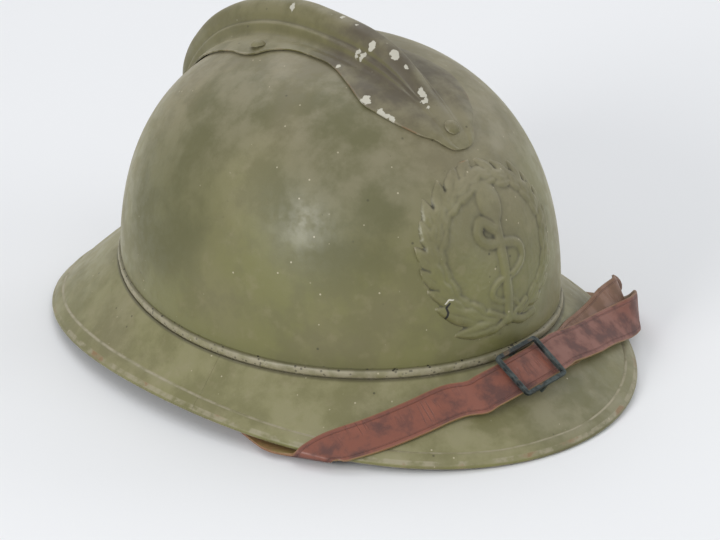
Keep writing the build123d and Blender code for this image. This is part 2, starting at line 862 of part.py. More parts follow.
# Bails and clips: the barrel lies along the wall, and the bail hangs from it
clip_wall = bowl_half_width - sheet - fit_gap - seam_gap
hinge_x = clip_wall - barrel_radius - bail_inset
hinge_z = bead_side_height + hinge_rise
bar_z = hinge_z - bail_drop
bail_half = strap_width / 2 + bail_side_play + bail_wire_radius
loop_inner = bail_wire_radius + fit_gap
loop_outer = loop_inner + strap_thickness
tail_z = bar_z - loop_tail
for side, name in ((-1, "right"), (1, "left")):
    with BuildPart() as clip:
        with BuildSketch(Plane.YZ.offset(side * clip_wall)):
            with Locations((0, bead_side_height + (clip_plate_low + clip_plate_high) / 2)):
                Rectangle(clip_plate_width, clip_plate_high - clip_plate_low)
        extrude(amount=-side * clip_plate_thickness)
        with BuildSketch(Plane.XZ.offset(-barrel_length / 2)):
            with Locations((side * hinge_x, hinge_z)):
                Circle(barrel_radius)
        extrude(amount=barrel_length)
        with BuildSketch(Plane.XZ.offset(-barrel_length)):
            with Locations((side * hinge_x, hinge_z)):
                Circle(barrel_bore)
        extrude(amount=2 * barrel_length, mode=Mode.SUBTRACT)
    save(clip.part, f"bail_clip_{name}")
    with BuildPart() as bail:
        with BuildLine(Plane.YZ.offset(side * hinge_x)) as wire:
            FilletPolyline(
                (fit_gap / 2, hinge_z),
                (bail_half, hinge_z),
                (bail_half, bar_z),
                (-bail_half, bar_z),
                (-bail_half, hinge_z),
                (-fit_gap / 2, hinge_z),
                radius=bail_corner_radius,
            )
        with BuildSketch(wire.line ^ 0):
            Circle(bail_wire_radius)
        sweep(path=wire.line)
    save(bail.part, f"bail_{name}")
    with BuildPart() as loop:
        with BuildSketch(Plane.XZ.offset(-strap_width / 2)):
            with Locations((side * hinge_x, bar_z)):
                Circle(loop_outer)
            with Locations((side * hinge_x, (bar_z + tail_z) / 2)):
                Rectangle(2 * loop_outer, loop_tail)
            with Locations((side * hinge_x, bar_z)):
                Circle(loop_inner, mode=Mode.SUBTRACT)
            with Locations((side * hinge_x, (bar_z + tail_z) / 2)):
                Rectangle(2 * loop_inner, loop_tail, mode=Mode.SUBTRACT)
        extrude(amount=strap_width)
    save(loop.part, f"strap_loop_{name}")


def band(stations):
    """Strap through pairs of edge points, each pair an upper and a lower one."""
    pairs = [stations[0]]
    for (upper, lower), (next_upper, next_lower) in zip(stations, stations[1:]):
        twist = (upper - lower).get_angle(next_upper - next_lower)
        steps = 1 + int(twist / strap_twist_step)
        for step in range(1, steps + 1):
            share = step / steps
            pairs.append(
                (
                    upper * (1 - share) + next_upper * share,
                    lower * (1 - share) + next_lower * share,
                )
            )
    middles = [(upper + lower) / 2 for upper, lower in pairs]
    with BuildPart() as strap:
        for place, (upper, lower) in enumerate(pairs):
            before = middles[max(place - 1, 0)]
            after = middles[min(place + 1, len(middles) - 1)]
            across = (upper - lower).normalized()
            along = after - before
            with BuildSketch(
                Plane(
                    origin=middles[place],
                    x_dir=across,
                    z_dir=along - across * along.dot(across),
                )
            ):
                Rectangle(strap_width, strap_thickness)
        loft(ruled=True)
    return strap.part


def brim_edges(row):
    """Upper and lower edge points of the strap from places on the brim."""
    upper_angle, upper_share, upper_lift, lower_angle, lower_share, lower_lift = row
    return (
        brim_point(upper_angle, upper_share, upper_lift * strap_thickness),
        brim_point(lower_angle, lower_share, lower_lift * strap_thickness),
    )


# The middle of the strap and the buckle turn about one axis that stands tilted below them
strap_square = Axis(
    origin=(0, 0, 0), direction=(0, -sin(radians(strap_slope)), cos(radians(strap_slope)))
)
strap_up = Vector(0, cos(radians(strap_slope)), sin(radians(strap_slope))).rotate(
    strap_square, strap_heading
)
strap_along = Vector(1, 0, 0).rotate(strap_square, strap_heading)
strap_face = Vector(strap_square.direction)
arc_way = Vector(
    0, cos(radians(strap_axis_slope)), sin(radians(strap_axis_slope))
).rotate(strap_square, strap_heading)
arc_out = Vector(
    0, -sin(radians(strap_axis_slope)), cos(radians(strap_axis_slope))
).rotate(strap_square, strap_heading)
strap_centre = Vector(
    strap_centre_x, -bowl_half_length - strap_centre_reach, strap_centre_height
)
arc_centre = strap_centre - arc_out * strap_arc_radius


def arc_edges(turn, drop=0.0, shift=0.0):
    """Edge points of the strap's middle at a turn about its axis."""
    middle = strap_centre - strap_face * drop + strap_up * shift
    upper = middle + strap_up * (strap_width / 2)
    lower = middle - strap_up * (strap_width / 2)
    spin = Axis(origin=(0, 0, 0), direction=arc_way)
    return (
        arc_centre + (upper - arc_centre).rotate(spin, turn),
        arc_centre + (lower - arc_centre).rotate(spin, turn),
    )


front_stations = [brim_edges(row) for row in front_right_shares]
front_stations += [
    arc_edges(front_arc_first + (front_arc_last - front_arc_first) * step / front_arc_steps)
    for step in range(front_arc_steps + 1)
]
front_stations += [brim_edges(row) for row in front_left_shares]
save(band(front_stations), "chin_strap_front")

under_drop = strap_thickness + strap_gap
return_start = degrees((buckle_bar / 2 + fit_gap) / strap_arc_radius)
return_stations = [arc_edges(return_start, under_drop)]
return_stations += [
    arc_edges(turn, under_drop, strap_width * share) for turn, share in return_arc_shares
]
return_stations += [brim_edges(row) for row in return_shares]
save(band(return_stations), "chin_strap_return")


def span_edges(side, row, tail_x):
    """Edge points of a strap span, from the end of its loop, in shares of the strap's width."""
    start = Vector(side * tail_x, 0, tail_z - fit_gap)
    edges = []
    for out_share, back_share, rise_share in (row[:3], row[3:]):
        edges.append(start + Vector(side * out_share, back_share, rise_share) * strap_width)
    return edges


def short_of(edges):
    """Edge points moved back along the strap, so that a span ends just short of them."""
    return [edge + Vector(0, fit_gap, 0) for edge in edges]


outer_tail = hinge_x + (loop_inner + loop_outer) / 2
inner_tail = hinge_x - (loop_inner + loop_outer) / 2
right_span = [span_edges(-1, row, outer_tail) for row in span_shares]
right_span.append(short_of(front_stations[0]))
save(band(right_span), "strap_span_right")
left_span = [span_edges(1, row, outer_tail) for row in span_shares]
left_span.append(short_of(front_stations[-1]))
save(band(left_span), "strap_span_left")
inner_span = [span_edges(1, row, inner_tail) for row in inner_span_shares]
inner_span.append(short_of(return_stations[-1]))
save(band(inner_span), "strap_span_left_inner")

# Buckle: a flat frame whose end bars lie over the strap and whose middle bar lies under it
buckle_plane = Plane(origin=strap_centre, x_dir=strap_along, z_dir=strap_face)
bar_low = strap_thickness / 2 + strap_gap - arc_dip
rail_middle = strap_width / 2 + buckle_rail_gap + buckle_bar / 2
with BuildPart() as buckle:
    with BuildSketch(buckle_plane.offset(bar_low)):
        RectangleRounded(
            2 * buckle_half_length, 2 * rail_middle + buckle_bar, buckle_corner_radius
        )
        Rectangle(
            2 * buckle_half_length - 2 * buckle_bar,
            2 * rail_middle - buckle_bar,
            mode=Mode.SUBTRACT,
        )
    extrude(amount=buckle_bar)
    with BuildSketch(buckle_plane.offset(-strap_thickness / 2 - strap_gap - buckle_bar)):
        with Locations((0, rail_middle), (0, -rail_middle)):
            Rectangle(buckle_bar, buckle_bar)
    extrude(amount=strap_thickness / 2 + strap_gap + buckle_bar + bar_low + buckle_bar / 2)
    with BuildSketch(
        Plane(
            origin=buckle_plane.origin
            - strap_face * (strap_thickness / 2 + strap_gap + buckle_bar / 2)
            - strap_up * rail_middle,
            x_dir=strap_along,
            z_dir=strap_up,
        )
    ):
        Circle(buckle_bar / 2)
    extrude(amount=2 * rail_middle)
save(buckle.part, "buckle")
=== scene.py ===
"""Looks of the steel helmet: smooth shell, embossed badge, worn paint, leather strap and liner."""
from contextlib import contextmanager
from math import acos, asin, cos, degrees, hypot, pi, radians, sin, sqrt

import bmesh
import bpy
import numpy
from mathutils import Matrix, Vector, noise


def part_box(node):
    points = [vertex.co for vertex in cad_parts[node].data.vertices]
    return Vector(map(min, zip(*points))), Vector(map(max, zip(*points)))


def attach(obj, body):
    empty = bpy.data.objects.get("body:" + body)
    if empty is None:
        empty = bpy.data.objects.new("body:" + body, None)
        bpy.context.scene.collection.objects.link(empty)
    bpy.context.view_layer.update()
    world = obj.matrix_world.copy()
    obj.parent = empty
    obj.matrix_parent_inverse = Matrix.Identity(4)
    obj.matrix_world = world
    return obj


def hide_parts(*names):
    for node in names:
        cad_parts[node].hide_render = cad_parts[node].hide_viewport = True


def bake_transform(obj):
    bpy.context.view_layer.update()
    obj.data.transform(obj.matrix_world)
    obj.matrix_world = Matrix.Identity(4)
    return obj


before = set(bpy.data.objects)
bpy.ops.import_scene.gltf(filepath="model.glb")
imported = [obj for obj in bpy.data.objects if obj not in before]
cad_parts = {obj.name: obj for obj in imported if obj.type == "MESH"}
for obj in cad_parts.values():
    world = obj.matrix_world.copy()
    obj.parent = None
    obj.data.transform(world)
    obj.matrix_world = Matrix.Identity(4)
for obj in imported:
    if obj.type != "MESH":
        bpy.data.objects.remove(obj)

bl_info = {
    "name": "Adrian helmet",
    "version": (1, 0, 0),
    "blender": (4, 5, 0),
    "location": "View3D > Sidebar > Helmet",
    "description": "Builds the looks of the helmet on its packed frame",
    "category": "Object",
}

MM = 0.001
HELMET = "helmet"

# Places of the strap's edges on the brim: angle, brim share and lift in thicknesses of the
# strap for the upper edge, then for the lower edge. They follow the construction's strap and
# are smoother where it folds over the brim.
FRONT_RIGHT = (
    (70.8, 0.87, -4.76, 69.3, 0.43, -10.77),
    (62.7, 1.05, -2.01, 58.9, 0.67, -7.37),
    (58.4, 1.12, -0.73, 51.8, 0.88, -4.26),
    (55.2, 1.09, -0.75, 46.4, 1.02, -1.68),
    (54.1, 1.08, 1.38, 45.1, 1.08, 1.24),
    (52.6, 0.93, 1.42, 43.9, 1.07, 1.30),
    (47.3, 0.74, 1.20, 43.0, 1.02, 1.30),
    (40.4, 0.52, 1.20, 36.9, 0.87, 1.20),
    (32.8, 0.34, 1.20, 29.8, 0.69, 1.20),
    (22.9, 0.18, 1.40, 20.3, 0.525, 1.40),
)
FRONT_LEFT = (
    (-24.6, 0.14, 2.40, -22.3, 0.53, 2.40),
    (-33.2, 0.26, 2.60, -30.6, 0.67, 2.60),
    (-41.4, 0.52, 5.77, -39.3, 0.90, 2.40),
    (-45.7, 0.73, 8.47, -45.2, 1.09, 2.96),
    (-48.6, 0.84, 9.22, -48.8, 1.19, 2.66),
    (-53.0, 1.02, 8.85, -54.3, 1.31, 2.47),
    (-61.4, 1.37, 4.66, -60.1, 1.12, -2.70),
    (-66.1, 1.20, -0.29, -64.8, 0.81, -7.06),
    (-72.1, 0.97, -4.52, -70.3, 0.55, -10.79),
)
# Inner layer under the buckle: turn about the strap's axis and shift in strap widths
RETURN_ARC = ((3.0, 0.02), (5.5, 0.035), (8.0, 0.05), (10.5, 0.065))
RETURN_LEFT = (
    (-18.3, 0.06, 1.05, -16.4, 0.43, 0.95),
    (-27.4, 0.08, 0.95, -24.8, 0.46, 0.90),
    (-34.7, 0.15, 1.10, -31.8, 0.55, 0.95),
    (-41.0, 0.25, 3.20, -38.2, 0.68, 2.20),
    (-46.2, 0.36, 5.58, -43.6, 0.79, 3.88),
    (-52.0, 0.60, 8.77, -51.3, 1.02, 4.35),
    (-56.3, 0.79, 8.03, -56.0, 1.08, 3.33),
    (-62.0, 1.28, 4.70, -60.7, 1.03, -2.45),
    (-66.4, 1.12, 0.19, -65.1, 0.73, -6.54),
    (-72.1, 0.89, -3.80, -70.2, 0.47, -9.97),
)
# Edges of the spans from the end of a loop, in strap widths: outward, back and rise of the
# upper edge, then of the lower edge
SPAN = (
    (0.0, -0.5, 0.0, 0.0, 0.5, 0.0),
    (0.05, -0.6, -0.18, -0.05, 0.4, -0.28),
    (0.27, -0.94, -0.37, -0.16, -0.09, -0.47),
    (0.5, -1.49, -0.46, -0.33, -0.97, -0.52),
)
INNER_SPAN = (
    (0.0, -0.5, 0.0, 0.0, 0.5, 0.0),
    (0.07, -0.6, -0.13, -0.05, 0.4, -0.21),
    (0.32, -0.94, -0.21, -0.1, -0.09, -0.3),
    (0.63, -1.49, -0.3, -0.19, -0.97, -0.34),
)
# Bare chips on the crest: place in millimetres and reach
CHIPS = (
    ((-24.3, -44.4, 136.3), 2.3),
    ((-23.9, -52.6, 133.2), 1.3),
    ((-23.4, -55.6, 131.8), 1.6),
    ((-22.4, -58.6, 130.2), 1.2),
    ((-8.2, -21.7, 147.2), 1.5),
    ((-8.2, -24.8, 146.4), 1.3),
    ((-5.1, -27.4, 151.7), 1.7),
    ((-1.7, -38.5, 150.2), 2.4),
    ((-2.1, -56.4, 137.0), 2.0),
    ((-3.4, -59.4, 134.8), 1.6),
    ((-4.0, -62.4, 132.6), 1.0),
    ((-1.7, -45.5, 146.0), 1.1),
    ((-4.0, 25.8, 156.0), 1.3),
    ((-17.8, -19.1, 142.8), 1.2),
    ((-0.8, -3.2, 157.7), 1.2),
    ((-1.3, -13.6, 156.9), 1.0),
)
# Darker patches of the bowl's coat, set where the dome looks darker: partly uneven paint, partly painted
# shade. Place in millimetres, reach and softness
PAINT_AND_SHADE_CLOUDS = (
    ((-55.0, -62.0, 104.0), 20.0, 28.0),
    ((-82.0, 22.0, 84.0), 20.0, 26.0),
    ((-30.0, -40.0, 130.0), 12.0, 22.0),
    ((-58.0, 7.0, 126.0), 14.0, 22.0),
)
# Darker patch on the front of the brim: partly darker paint, partly painted shade. Place in millimetres,
# reach and softness
BRIM_PAINT_AND_SHADE_CLOUDS = (((12.0, -142.0, 7.0), 20.0, 22.0),)
# Crown of the ridge that has lost its coat: place in millimetres, reach and softness
BALD_CROWN = ((0.0, -40.0, 147.0), 26.0, 24.0)
# Pressed line of the brim, in millimetres from the rim
PRESSED_LINE = 5.4
# Dark of the badge's crack
CRACK_COLOUR = (0.006, 0.005, 0.004, 1.0)
# Sections round the bowl and round the liner's leather
BOWL_SECTIONS = 300
LINER_SECTIONS = 420
# The bowl's sections start at this share of its reach, so that the top closes in a small ring
BOWL_TOP_SHARE = 0.03
# Half of the opening between the brim's halves, in degrees
HALF_OPENING = 0.02
# Small knob beside the pressed line of the brim
KNOB = Vector((-41.5 * MM, -128.8 * MM, 11.9 * MM))
# The flange of the crest swells more than in the solids
FLANGE_SWELL = 1.6
# Foot of the crest's channel in crown widths, and the points of its side over it
CHANNEL = 1.75
CREST_SIDE = (
    (0.0, 1.0), (0.5, 0.92), (0.88, 0.64), (1.0, 0.42), (1.28, 0.36), (1.42, 0.12), (CHANNEL, 0.02),
)
# Crest rows: angle from the vertical, half width share, ridge share, crown width share. They
# follow the construction's rows, with a wider front, a higher rear ridge and rounder ends.
CREST_ROWS = (
    (-48.1, 0.02, 0.00, 0.10),
    (-47.9, 0.13, 0.00, 0.20),
    (-47.2, 0.22, 0.00, 0.30),
    (-45.6, 0.31, 0.00, 0.40),
    (-43.6, 0.39, 0.00, 0.45),
    (-41.2, 0.55, 0.01, 0.50),
    (-36.3, 0.73, 0.06, 0.60),
    (-31.0, 0.85, 0.18, 0.72),
    (-25.6, 0.90, 0.43, 0.84),
    (-17.3, 0.77, 0.74, 0.95),
    (-8.7, 0.62, 0.86, 1.00),
    (0.0, 0.61, 0.92, 1.00),
    (7.0, 0.65, 0.98, 1.00),
    (11.5, 0.78, 1.00, 1.00),
    (15.0, 0.97, 1.00, 1.00),
    (19.0, 1.00, 1.00, 1.00),
    (24.0, 0.93, 1.00, 1.00),
    (31.0, 0.85, 1.02, 1.00),
    (39.0, 0.75, 1.04, 0.95),
    (47.0, 0.63, 1.02, 0.90),
    (55.0, 0.50, 0.96, 0.80),
    (61.0, 0.42, 0.80, 0.70),
    (65.5, 0.36, 0.45, 0.60),
    (70.5, 0.32, 0.08, 0.50),
    (74.0, 0.24, 0.00, 0.40),
    (76.2, 0.13, 0.00, 0.20),
    (76.8, 0.02, 0.00, 0.10),
)

# Badge, in millimetres of its front view. Leaves stand in threes up each side of the wreath.
LEAF_GROUPS = 10
# Two broad leaves low on the wearer's right: foot, way, length and half width
BROAD_LEAVES = (
    (-16.0, -27.0, (-20.0, 9.0), 21.0, 4.6),
    (-6.0, -31.0, (-21.0, -1.0), 22.0, 4.4),
)
STAFF = ((0.0, -31.0), (0.2, -16.0), (-0.2, 0.0), (0.0, 14.0))
SERPENT = (
    (-1.5, 9.5), (-7.5, 13.5), (-10.6, 9.0), (-7.0, 4.5), (2.0, 3.0), (10.0, 0.5), (12.0, -5.5),
    (6.0, -10.5), (-4.0, -12.5), (-8.5, -17.0), (-4.5, -21.5), (3.0, -22.5), (6.5, -26.0),
)
# Crossed stems and ribbon ends at the foot: line, half width and rise
TIED_FOOT = (
    (((11.0, -25.0), (3.0, -29.0), (-8.0, -34.0)), 1.6, 1.4),
    (((1.0, -30.0), (9.0, -33.5), (17.0, -33.0)), 2.3, 1.5),
)
CRACK_LINE = ((-29.5, -16.6), (-31.0, -18.5), (-30.4, -20.5), (-31.6, -23.5))
NICK_LINE = ((-31.2, -16.6), (-29.6, -14.9), (-27.8, -15.3))
# Lowest relief that belongs to the plate
PLATE_START = 0.12 * MM
# Tongues of the liner and half the width of the slits between them
TONGUES = 7
SLIT_HALF = 2.5 * MM
# End of the lace: millimetres out from its knot and down from its ring
LACE_END = ((1.6, 2.0), (5.0, 9.0), (6.6, 17.0), (7.6, 24.0))
# Pieces that keep the construction's own solids, by material
FITTINGS = {
    "khaki_painted_steel": ("bail_clip_right", "bail_clip_left"),
    "worn_black_iron": ("bail_right", "bail_left"),
    "rolled_alloy": ("liner_tabs", "spacer_front", "spacer_rear", "spacer_left", "spacer_right"),
}
# Camera of the photograph: the picture's size, the lens's axis and the focal length in pixels,
# the sensor's width in millimetres, and where the camera stands and looks
PHOTO_SIZE = (720, 540)
PHOTO_CENTRE = (338.48, 217.86)
FOCAL_PIXELS = 3381.0
SENSOR = 36.0
CAMERA_BACK = (-0.62069, -0.67596, 0.39715)
CAMERA_RIGHT = (0.73656, -0.67638, 0.0)
CAMERA_TARGET_HEIGHT = 59.2 * MM
CAMERA_DISTANCE = 1543.9 * MM
# Lights: name, place, what it looks at, power and size
LIGHTS = (
    ("window", (-1.75, -0.3, 0.78), (0, 0, 0.07), 18.0, 0.75),
    ("key", (-0.6, -1.2, 1.7), (0, 0, 0.05), 4.5, 1.3),
    ("front", (0.7, -1.9, 0.75), (0, 0, 0.05), 7.5, 1.3),
    ("side", (1.5, -0.2, 0.9), (0, 0, 0.05), 4.0, 1.2),
    ("top", (0.3, 0.9, 1.9), (0, 0, 0.05), 5.0, 1.6),
    ("rear", (0.75, 0.95, 1.2), (0.55, 0.6, 0), 3.5, 1.4),
)


def length(name, description, size):
    """Length property with its default given in millimetres."""
    return bpy.props.FloatProperty(
        name=name, description=description, default=size * MM, unit="LENGTH", precision=5
    )


def share(name, description, value):
    """Plain number property."""
    return bpy.props.FloatProperty(name=name, description=description, default=value)


def turn(name, description, value):
    """Angle property with its default given in degrees."""
    return bpy.props.FloatProperty(
        name=name, description=description, default=radians(value), subtype="ANGLE"
    )


def colour(name, description, code):
    """Colour property with its default given as a hex code."""
    return bpy.props.FloatVectorProperty(
        name=name, description=description, default=linear(code), subtype="COLOR", size=4,
        min=0.0, max=1.0,
    )


def linear(code):
    """Linear colour of an sRGB hex code."""
    values = [int(code[place : place + 2], 16) / 255 for place in (0, 2, 4)]
    return tuple(v / 12.92 if v <= 0.04045 else ((v + 0.055) / 1.055) ** 2.4 for v in values) + (1.0,)


class HelmetSizes(bpy.types.PropertyGroup):
    """Sizes of the helmet. They follow the construction."""

    bowl_half_length: length("Bowl half length", "Half of the bowl's length at the seam", 110.0)
    bowl_half_width: length("Bowl half width", "Half of the bowl's width at the seam", 92.8)
    bowl_top: length("Bowl top", "Height of the bowl's top", 143.1)
    bowl_power: share("Bowl power", "Fullness of the bowl's curve", 2.42)
    bead_front: length("Seam front", "Height of the seam at the front", 29.7)
    bead_side: length("Seam side", "Height of the seam at the side", 29.6)
    bead_rear: length("Seam rear", "Height of the seam at the rear", 40.7)
    sheet: length("Sheet", "Thickness of the steel", 0.9)
    gap: length("Gap", "Clearance between pieces", 0.3)
    roll_proud: length("Roll", "How far the crimped roll stands out", 1.2)
    roll_above: length("Roll above", "Top of the roll over the seam line", 3.2)
    roll_below: length("Roll below", "Foot of the roll under the seam line", 1.0)
    flange_rise: length("Flange", "Height of the brim's inner flange", 2.6)
    visor_reach: length("Visor reach", "Width of the brim at the front", 42.6)
    side_reach: length("Side reach", "Width of the brim at the side", 20.3)
    neck_reach: length("Neck reach", "Width of the brim at the rear", 42.7)
    rim_lift: length("Rim lift", "Rise of the rim at the sides", 7.4)
    rim_roll: length("Rim roll", "Radius of the rim's rolled edge", 1.3)
    seam_turn: turn("Brim seam", "Angle of the seams between the brim's halves", 78.0)
    slot_length: length("Slot length", "Length of the air slot", 84.0)
    slot_width: length("Slot width", "Width of the air slot", 9.0)
    slot_y: length("Slot middle", "Place of the air slot along the helmet", 14.0)
    crest_half_width: length("Crest half width", "Half width of the crest's lobes", 29.5)
    crest_ridge: length("Crest ridge", "Height of the crest's ridge", 14.6)
    crest_crown: length("Crest crown", "Half width of the ridge", 7.0)
    crest_sheet: length("Crest sheet", "Thickness of the crest", 0.7)
    crest_swell: length("Crest swell", "Swell of the crest's flanges", 0.4)
    crest_gap: length("Crest gap", "Gap between crest and bowl", 0.7)
    crest_fan: length("Crest fan", "Height of the point that the crest's rows fan out from", 45.0)
    rivet_radius: length("Rivet radius", "Radius of a crest rivet's head", 3.6)
    rivet_height: length("Rivet height", "Height of a crest rivet's head", 1.5)
    rivet_seat: length("Rivet seat", "Gap between the crest and the rivets' heads", 0.4)
    rivet_front: length("Front rivet", "Place of the front rivet along the helmet", -72.0)
    rivet_rear: length("Rear rivet", "Place of the rear rivet along the helmet", 102.6)
    rivet_side_x: length("Side rivet out", "Place of the side rivets across the helmet", 22.5)
    rivet_side_y: length("Side rivet back", "Place of the side rivets along the helmet", 28.0)
    badge_half_width: length("Badge half width", "Half width of the badge", 38.5)
    badge_half_height: length("Badge half height", "Half height of the badge", 35.8)
    badge_z: length("Badge height", "Height of the badge's middle", 77.1)
    badge_ring: share("Badge ring", "Wreath's stem as a share of the badge", 0.83)
    relief: length("Relief", "Height of the badge's relief over the bowl", 1.9)
    strap_width: length("Strap width", "Width of the chin strap", 17.5)
    strap_thickness: length("Strap thickness", "Thickness of the chin strap", 1.8)
    strap_gap: length("Strap gap", "Gap between the strap's layers", 0.4)
    arc_radius: length("Arc radius", "Radius of the middle of the strap about its axis", 99.0)
    strap_x: length("Strap middle out", "Place of the buckle across the helmet", -1.3)
    strap_reach: length("Strap middle forward", "Place of the buckle before the bowl", 14.1)
    strap_z: length("Strap middle height", "Height of the buckle", 27.8)
    strap_slope: turn("Strap slope", "Slope of the strap's face at the buckle", 33.4)
    arc_slope: turn("Axis slope", "Slope of the axis that the strap is bent about", 56.2)
    strap_heading: turn("Strap heading", "Turn of the strap in its own plane", 5.5)
    buckle_bar: length("Buckle bar", "Width of the buckle's bars", 2.0)
    buckle_half_length: length("Buckle half length", "Half length of the buckle", 13.4)
    buckle_gap: length("Buckle gap", "Room between strap and buckle", 0.6)
    buckle_corner: length("Buckle corner", "Radius of the buckle's corners", 1.6)
    arc_dip: length("Arc dip", "How far the strap falls away under the buckle's ends", 0.3)
    hinge_x: length("Hinge out", "Place of the bails' hinges across the helmet", 88.8)
    hinge_z: length("Hinge height", "Height of the bails' hinges", 35.2)
    bail_drop: length("Bail drop", "How far a bail hangs under its hinge", 15.0)
    bail_wire: length("Bail wire", "Radius of the bails' wire", 1.0)
    loop_tail: length("Loop tail", "Length of a strap loop's tails", 7.0)
    liner_clear: length("Liner place", "Distance of the liner inside the bowl", 10.9)
    liner_thickness: length("Liner thickness", "Thickness of the liner's leather", 1.5)
    liner_drop: length("Liner drop", "Depth of the liner's crown under the bowl's", 24.0)
    liner_low: length("Liner low", "Lower edge of the liner over the seam line", 7.5)
    felt_clear: length("Cloth place", "Distance of the cloth band inside the bowl", 9.0)
    felt_thickness: length("Cloth thickness", "Thickness of the cloth band", 1.6)
    felt_low: length("Cloth low", "Lower edge of the cloth band over the seam line", 9.0)
    felt_high: length("Cloth high", "Upper edge of the cloth band over the seam line", 34.0)
    lace_ring: length("Lace ring", "Radius of the lace's ring", 29.0)
    lace_radius: length("Lace radius", "Radius of the lace", 1.1)


class HelmetLooks(bpy.types.PropertyGroup):
    """Colours of the helmet."""

    paint: colour("Paint", "Khaki paint", "6c6a3e")
    paint_warm: colour("Warm paint", "Paint that has gone brown", "746d50")
    dust: colour("Dust", "Dust and rubbed paint on upper faces", "9a927c")
    crest_paint: colour("Crest paint", "Darker paint on the crest", "69643f")
    chip: colour("Chip", "Bare pale metal", "bdb9aa")
    primer: colour("Primer", "Brown primer on the ridge", "4a4036")
    # dark colour for dirt specks and pits, and for painted shade in hollows, along the roll and under it
    grime_and_shade: colour("Grime", "Dirt in the folds", "34311f")
    rust: colour("Rust", "Rusty scuffs", "7a5a34")
    strap: colour("Strap", "Red-brown leather", "7a493a")
    strap_dark: colour("Dark strap", "Dark blotches of the leather", "4b3431")
    strap_edge: colour("Strap edge", "Cut edges and flesh side", "8a6848")
    strap_flesh: colour("Flesh side", "Green-brown stains of the flesh side", "7a6a3e")
    iron: colour("Iron", "Blackened iron", "272c2b")
    iron_worn: colour("Worn iron", "Iron worn grey", "4d5553")
    liner: colour("Liner", "Dark brown leather", "3a2a20")
    felt: colour("Cloth", "Grey-brown cloth", "4f4a3f")
    lace: colour("Lace", "Waxed lace", "6a583f")
    alloy: colour("Alloy", "Dull rolled strip", "9b9b96")


def sizes():
    """Sizes that the scene carries."""
    return bpy.context.scene.helmet_sizes


def looks():
    """Colours that the scene carries."""
    return bpy.context.scene.helmet_looks


# Form of the shell


def bead_height(s, y):
    """Height of the seam line at a place along the helmet."""
    part = y / s.bowl_half_length
    dip = (s.bead_rear + s.bead_front) / 2 - s.bead_side
    return s.bead_side + dip * part * part + (s.bead_rear - s.bead_front) / 2 * part


def wall_share(s, z):
    """Half size of the bowl at a height, as a share of its half size at the base."""
    climb = max(0.0, min(1.0, (z - s.bead_side) / (s.bowl_top - s.bead_side)))
    return (1 - climb**s.bowl_power) ** (1 / s.bowl_power)


def bead_point(s, angle):
    """Point on the seam line at an angle."""
    z = bead_height(s, -s.bowl_half_length * cos(radians(angle)))
    part = wall_share(s, z)
    x = -s.bowl_half_width * part * sin(radians(angle))
    y = -s.bowl_half_length * part * cos(radians(angle))
    return Vector((x, y, z))


def outward(s, angle):
    """Level direction that leaves the bowl squarely at an angle."""
    return Vector(
        (-sin(radians(angle)) / s.bowl_half_width, -cos(radians(angle)) / s.bowl_half_length, 0)
    ).normalized()


def brim_reach(s, angle):
    """Level width of the brim at an angle."""
    level = cos(radians(angle))
    end = s.visor_reach if level > 0 else s.neck_reach
    return s.side_reach + (end - s.side_reach) * level * level


def rim_height(s, angle):
    """Height of the middle of the rim's rolled edge."""
    return s.rim_roll + s.rim_lift * sin(radians(angle)) ** 2


def brim_point(s, angle, part, lift):
    """Point above the brim: share 0 is the seam, 1 the rim, and lift stands square to it."""
    start = bead_point(s, angle)
    run = brim_reach(s, angle)
    fall = start.z - rim_height(s, angle)
    slope = hypot(run, fall)
    level = part * run + lift * fall / slope
    return start + outward(s, angle) * level + Vector((0, 0, lift * run / slope - part * fall))


def bowl_top_point(s, x, y):
    """Point on the outside of the bowl over a place on the plan."""
    part = hypot(x / s.bowl_half_width, y / s.bowl_half_length)
    rise = (1 - part**s.bowl_power) ** (1 / s.bowl_power)
    return Vector((x, y, s.bead_side + (s.bowl_top - s.bead_side) * rise))


def bowl_normal(s, point):
    """Direction that leaves the bowl squarely at a point on its outside."""
    part = hypot(point.x / s.bowl_half_width, point.y / s.bowl_half_length)
    height = s.bowl_top - s.bead_side
    climb = (point.z - s.bead_side) / height
    across = part ** (s.bowl_power - 2)
    x = across * point.x / s.bowl_half_width**2
    y = across * point.y / s.bowl_half_length**2
    return Vector((x, y, climb ** (s.bowl_power - 1) / height)).normalized()


def front_point(s, x, z, lift):
    """Point over the front of the bowl at a place of the front view."""
    part = wall_share(s, z)
    y = -s.bowl_half_length * sqrt(max(0.0, part * part - (x / s.bowl_half_width) ** 2))
    point = Vector((x, y, z))
    return point + bowl_normal(s, point) * lift


def shell_curve(s, direction, cut, crown, low, top_share, steps):
    """Reach and height of a sheet's section, from its top to its low edge."""
    reach = 1 / hypot(
        direction.x / (s.bowl_half_width - cut), direction.y / (s.bowl_half_length - cut)
    )
    height = s.bowl_top - s.bead_side - crown
    low_climb = max(0.0, min(1.0, (low - s.bead_side) / height))
    low_turn = asin(low_climb ** (s.bowl_power / 2))
    top_turn = acos(top_share ** (s.bowl_power / 2))
    curve = []
    for step in range(steps + 1):
        angle = top_turn + (low_turn - top_turn) * step / steps
        rise = height * sin(angle) ** (2 / s.bowl_power)
        curve.append((reach * cos(angle) ** (2 / s.bowl_power), s.bead_side + rise))
    return curve


def section(s, angle):
    """Direction of a section through the middle of the bowl, and the height of its seam."""
    direction = Vector(
        (-s.bowl_half_width * sin(radians(angle)), -s.bowl_half_length * cos(radians(angle)), 0)
    ).normalized()
    reach = 1 / hypot(direction.x / s.bowl_half_width, direction.y / s.bowl_half_length)
    return direction, bead_height(s, direction.y * reach)


def placed(direction, reach, height):
    """Point at a reach along a level direction and at a height."""
    return direction * reach + Vector((0, 0, height))


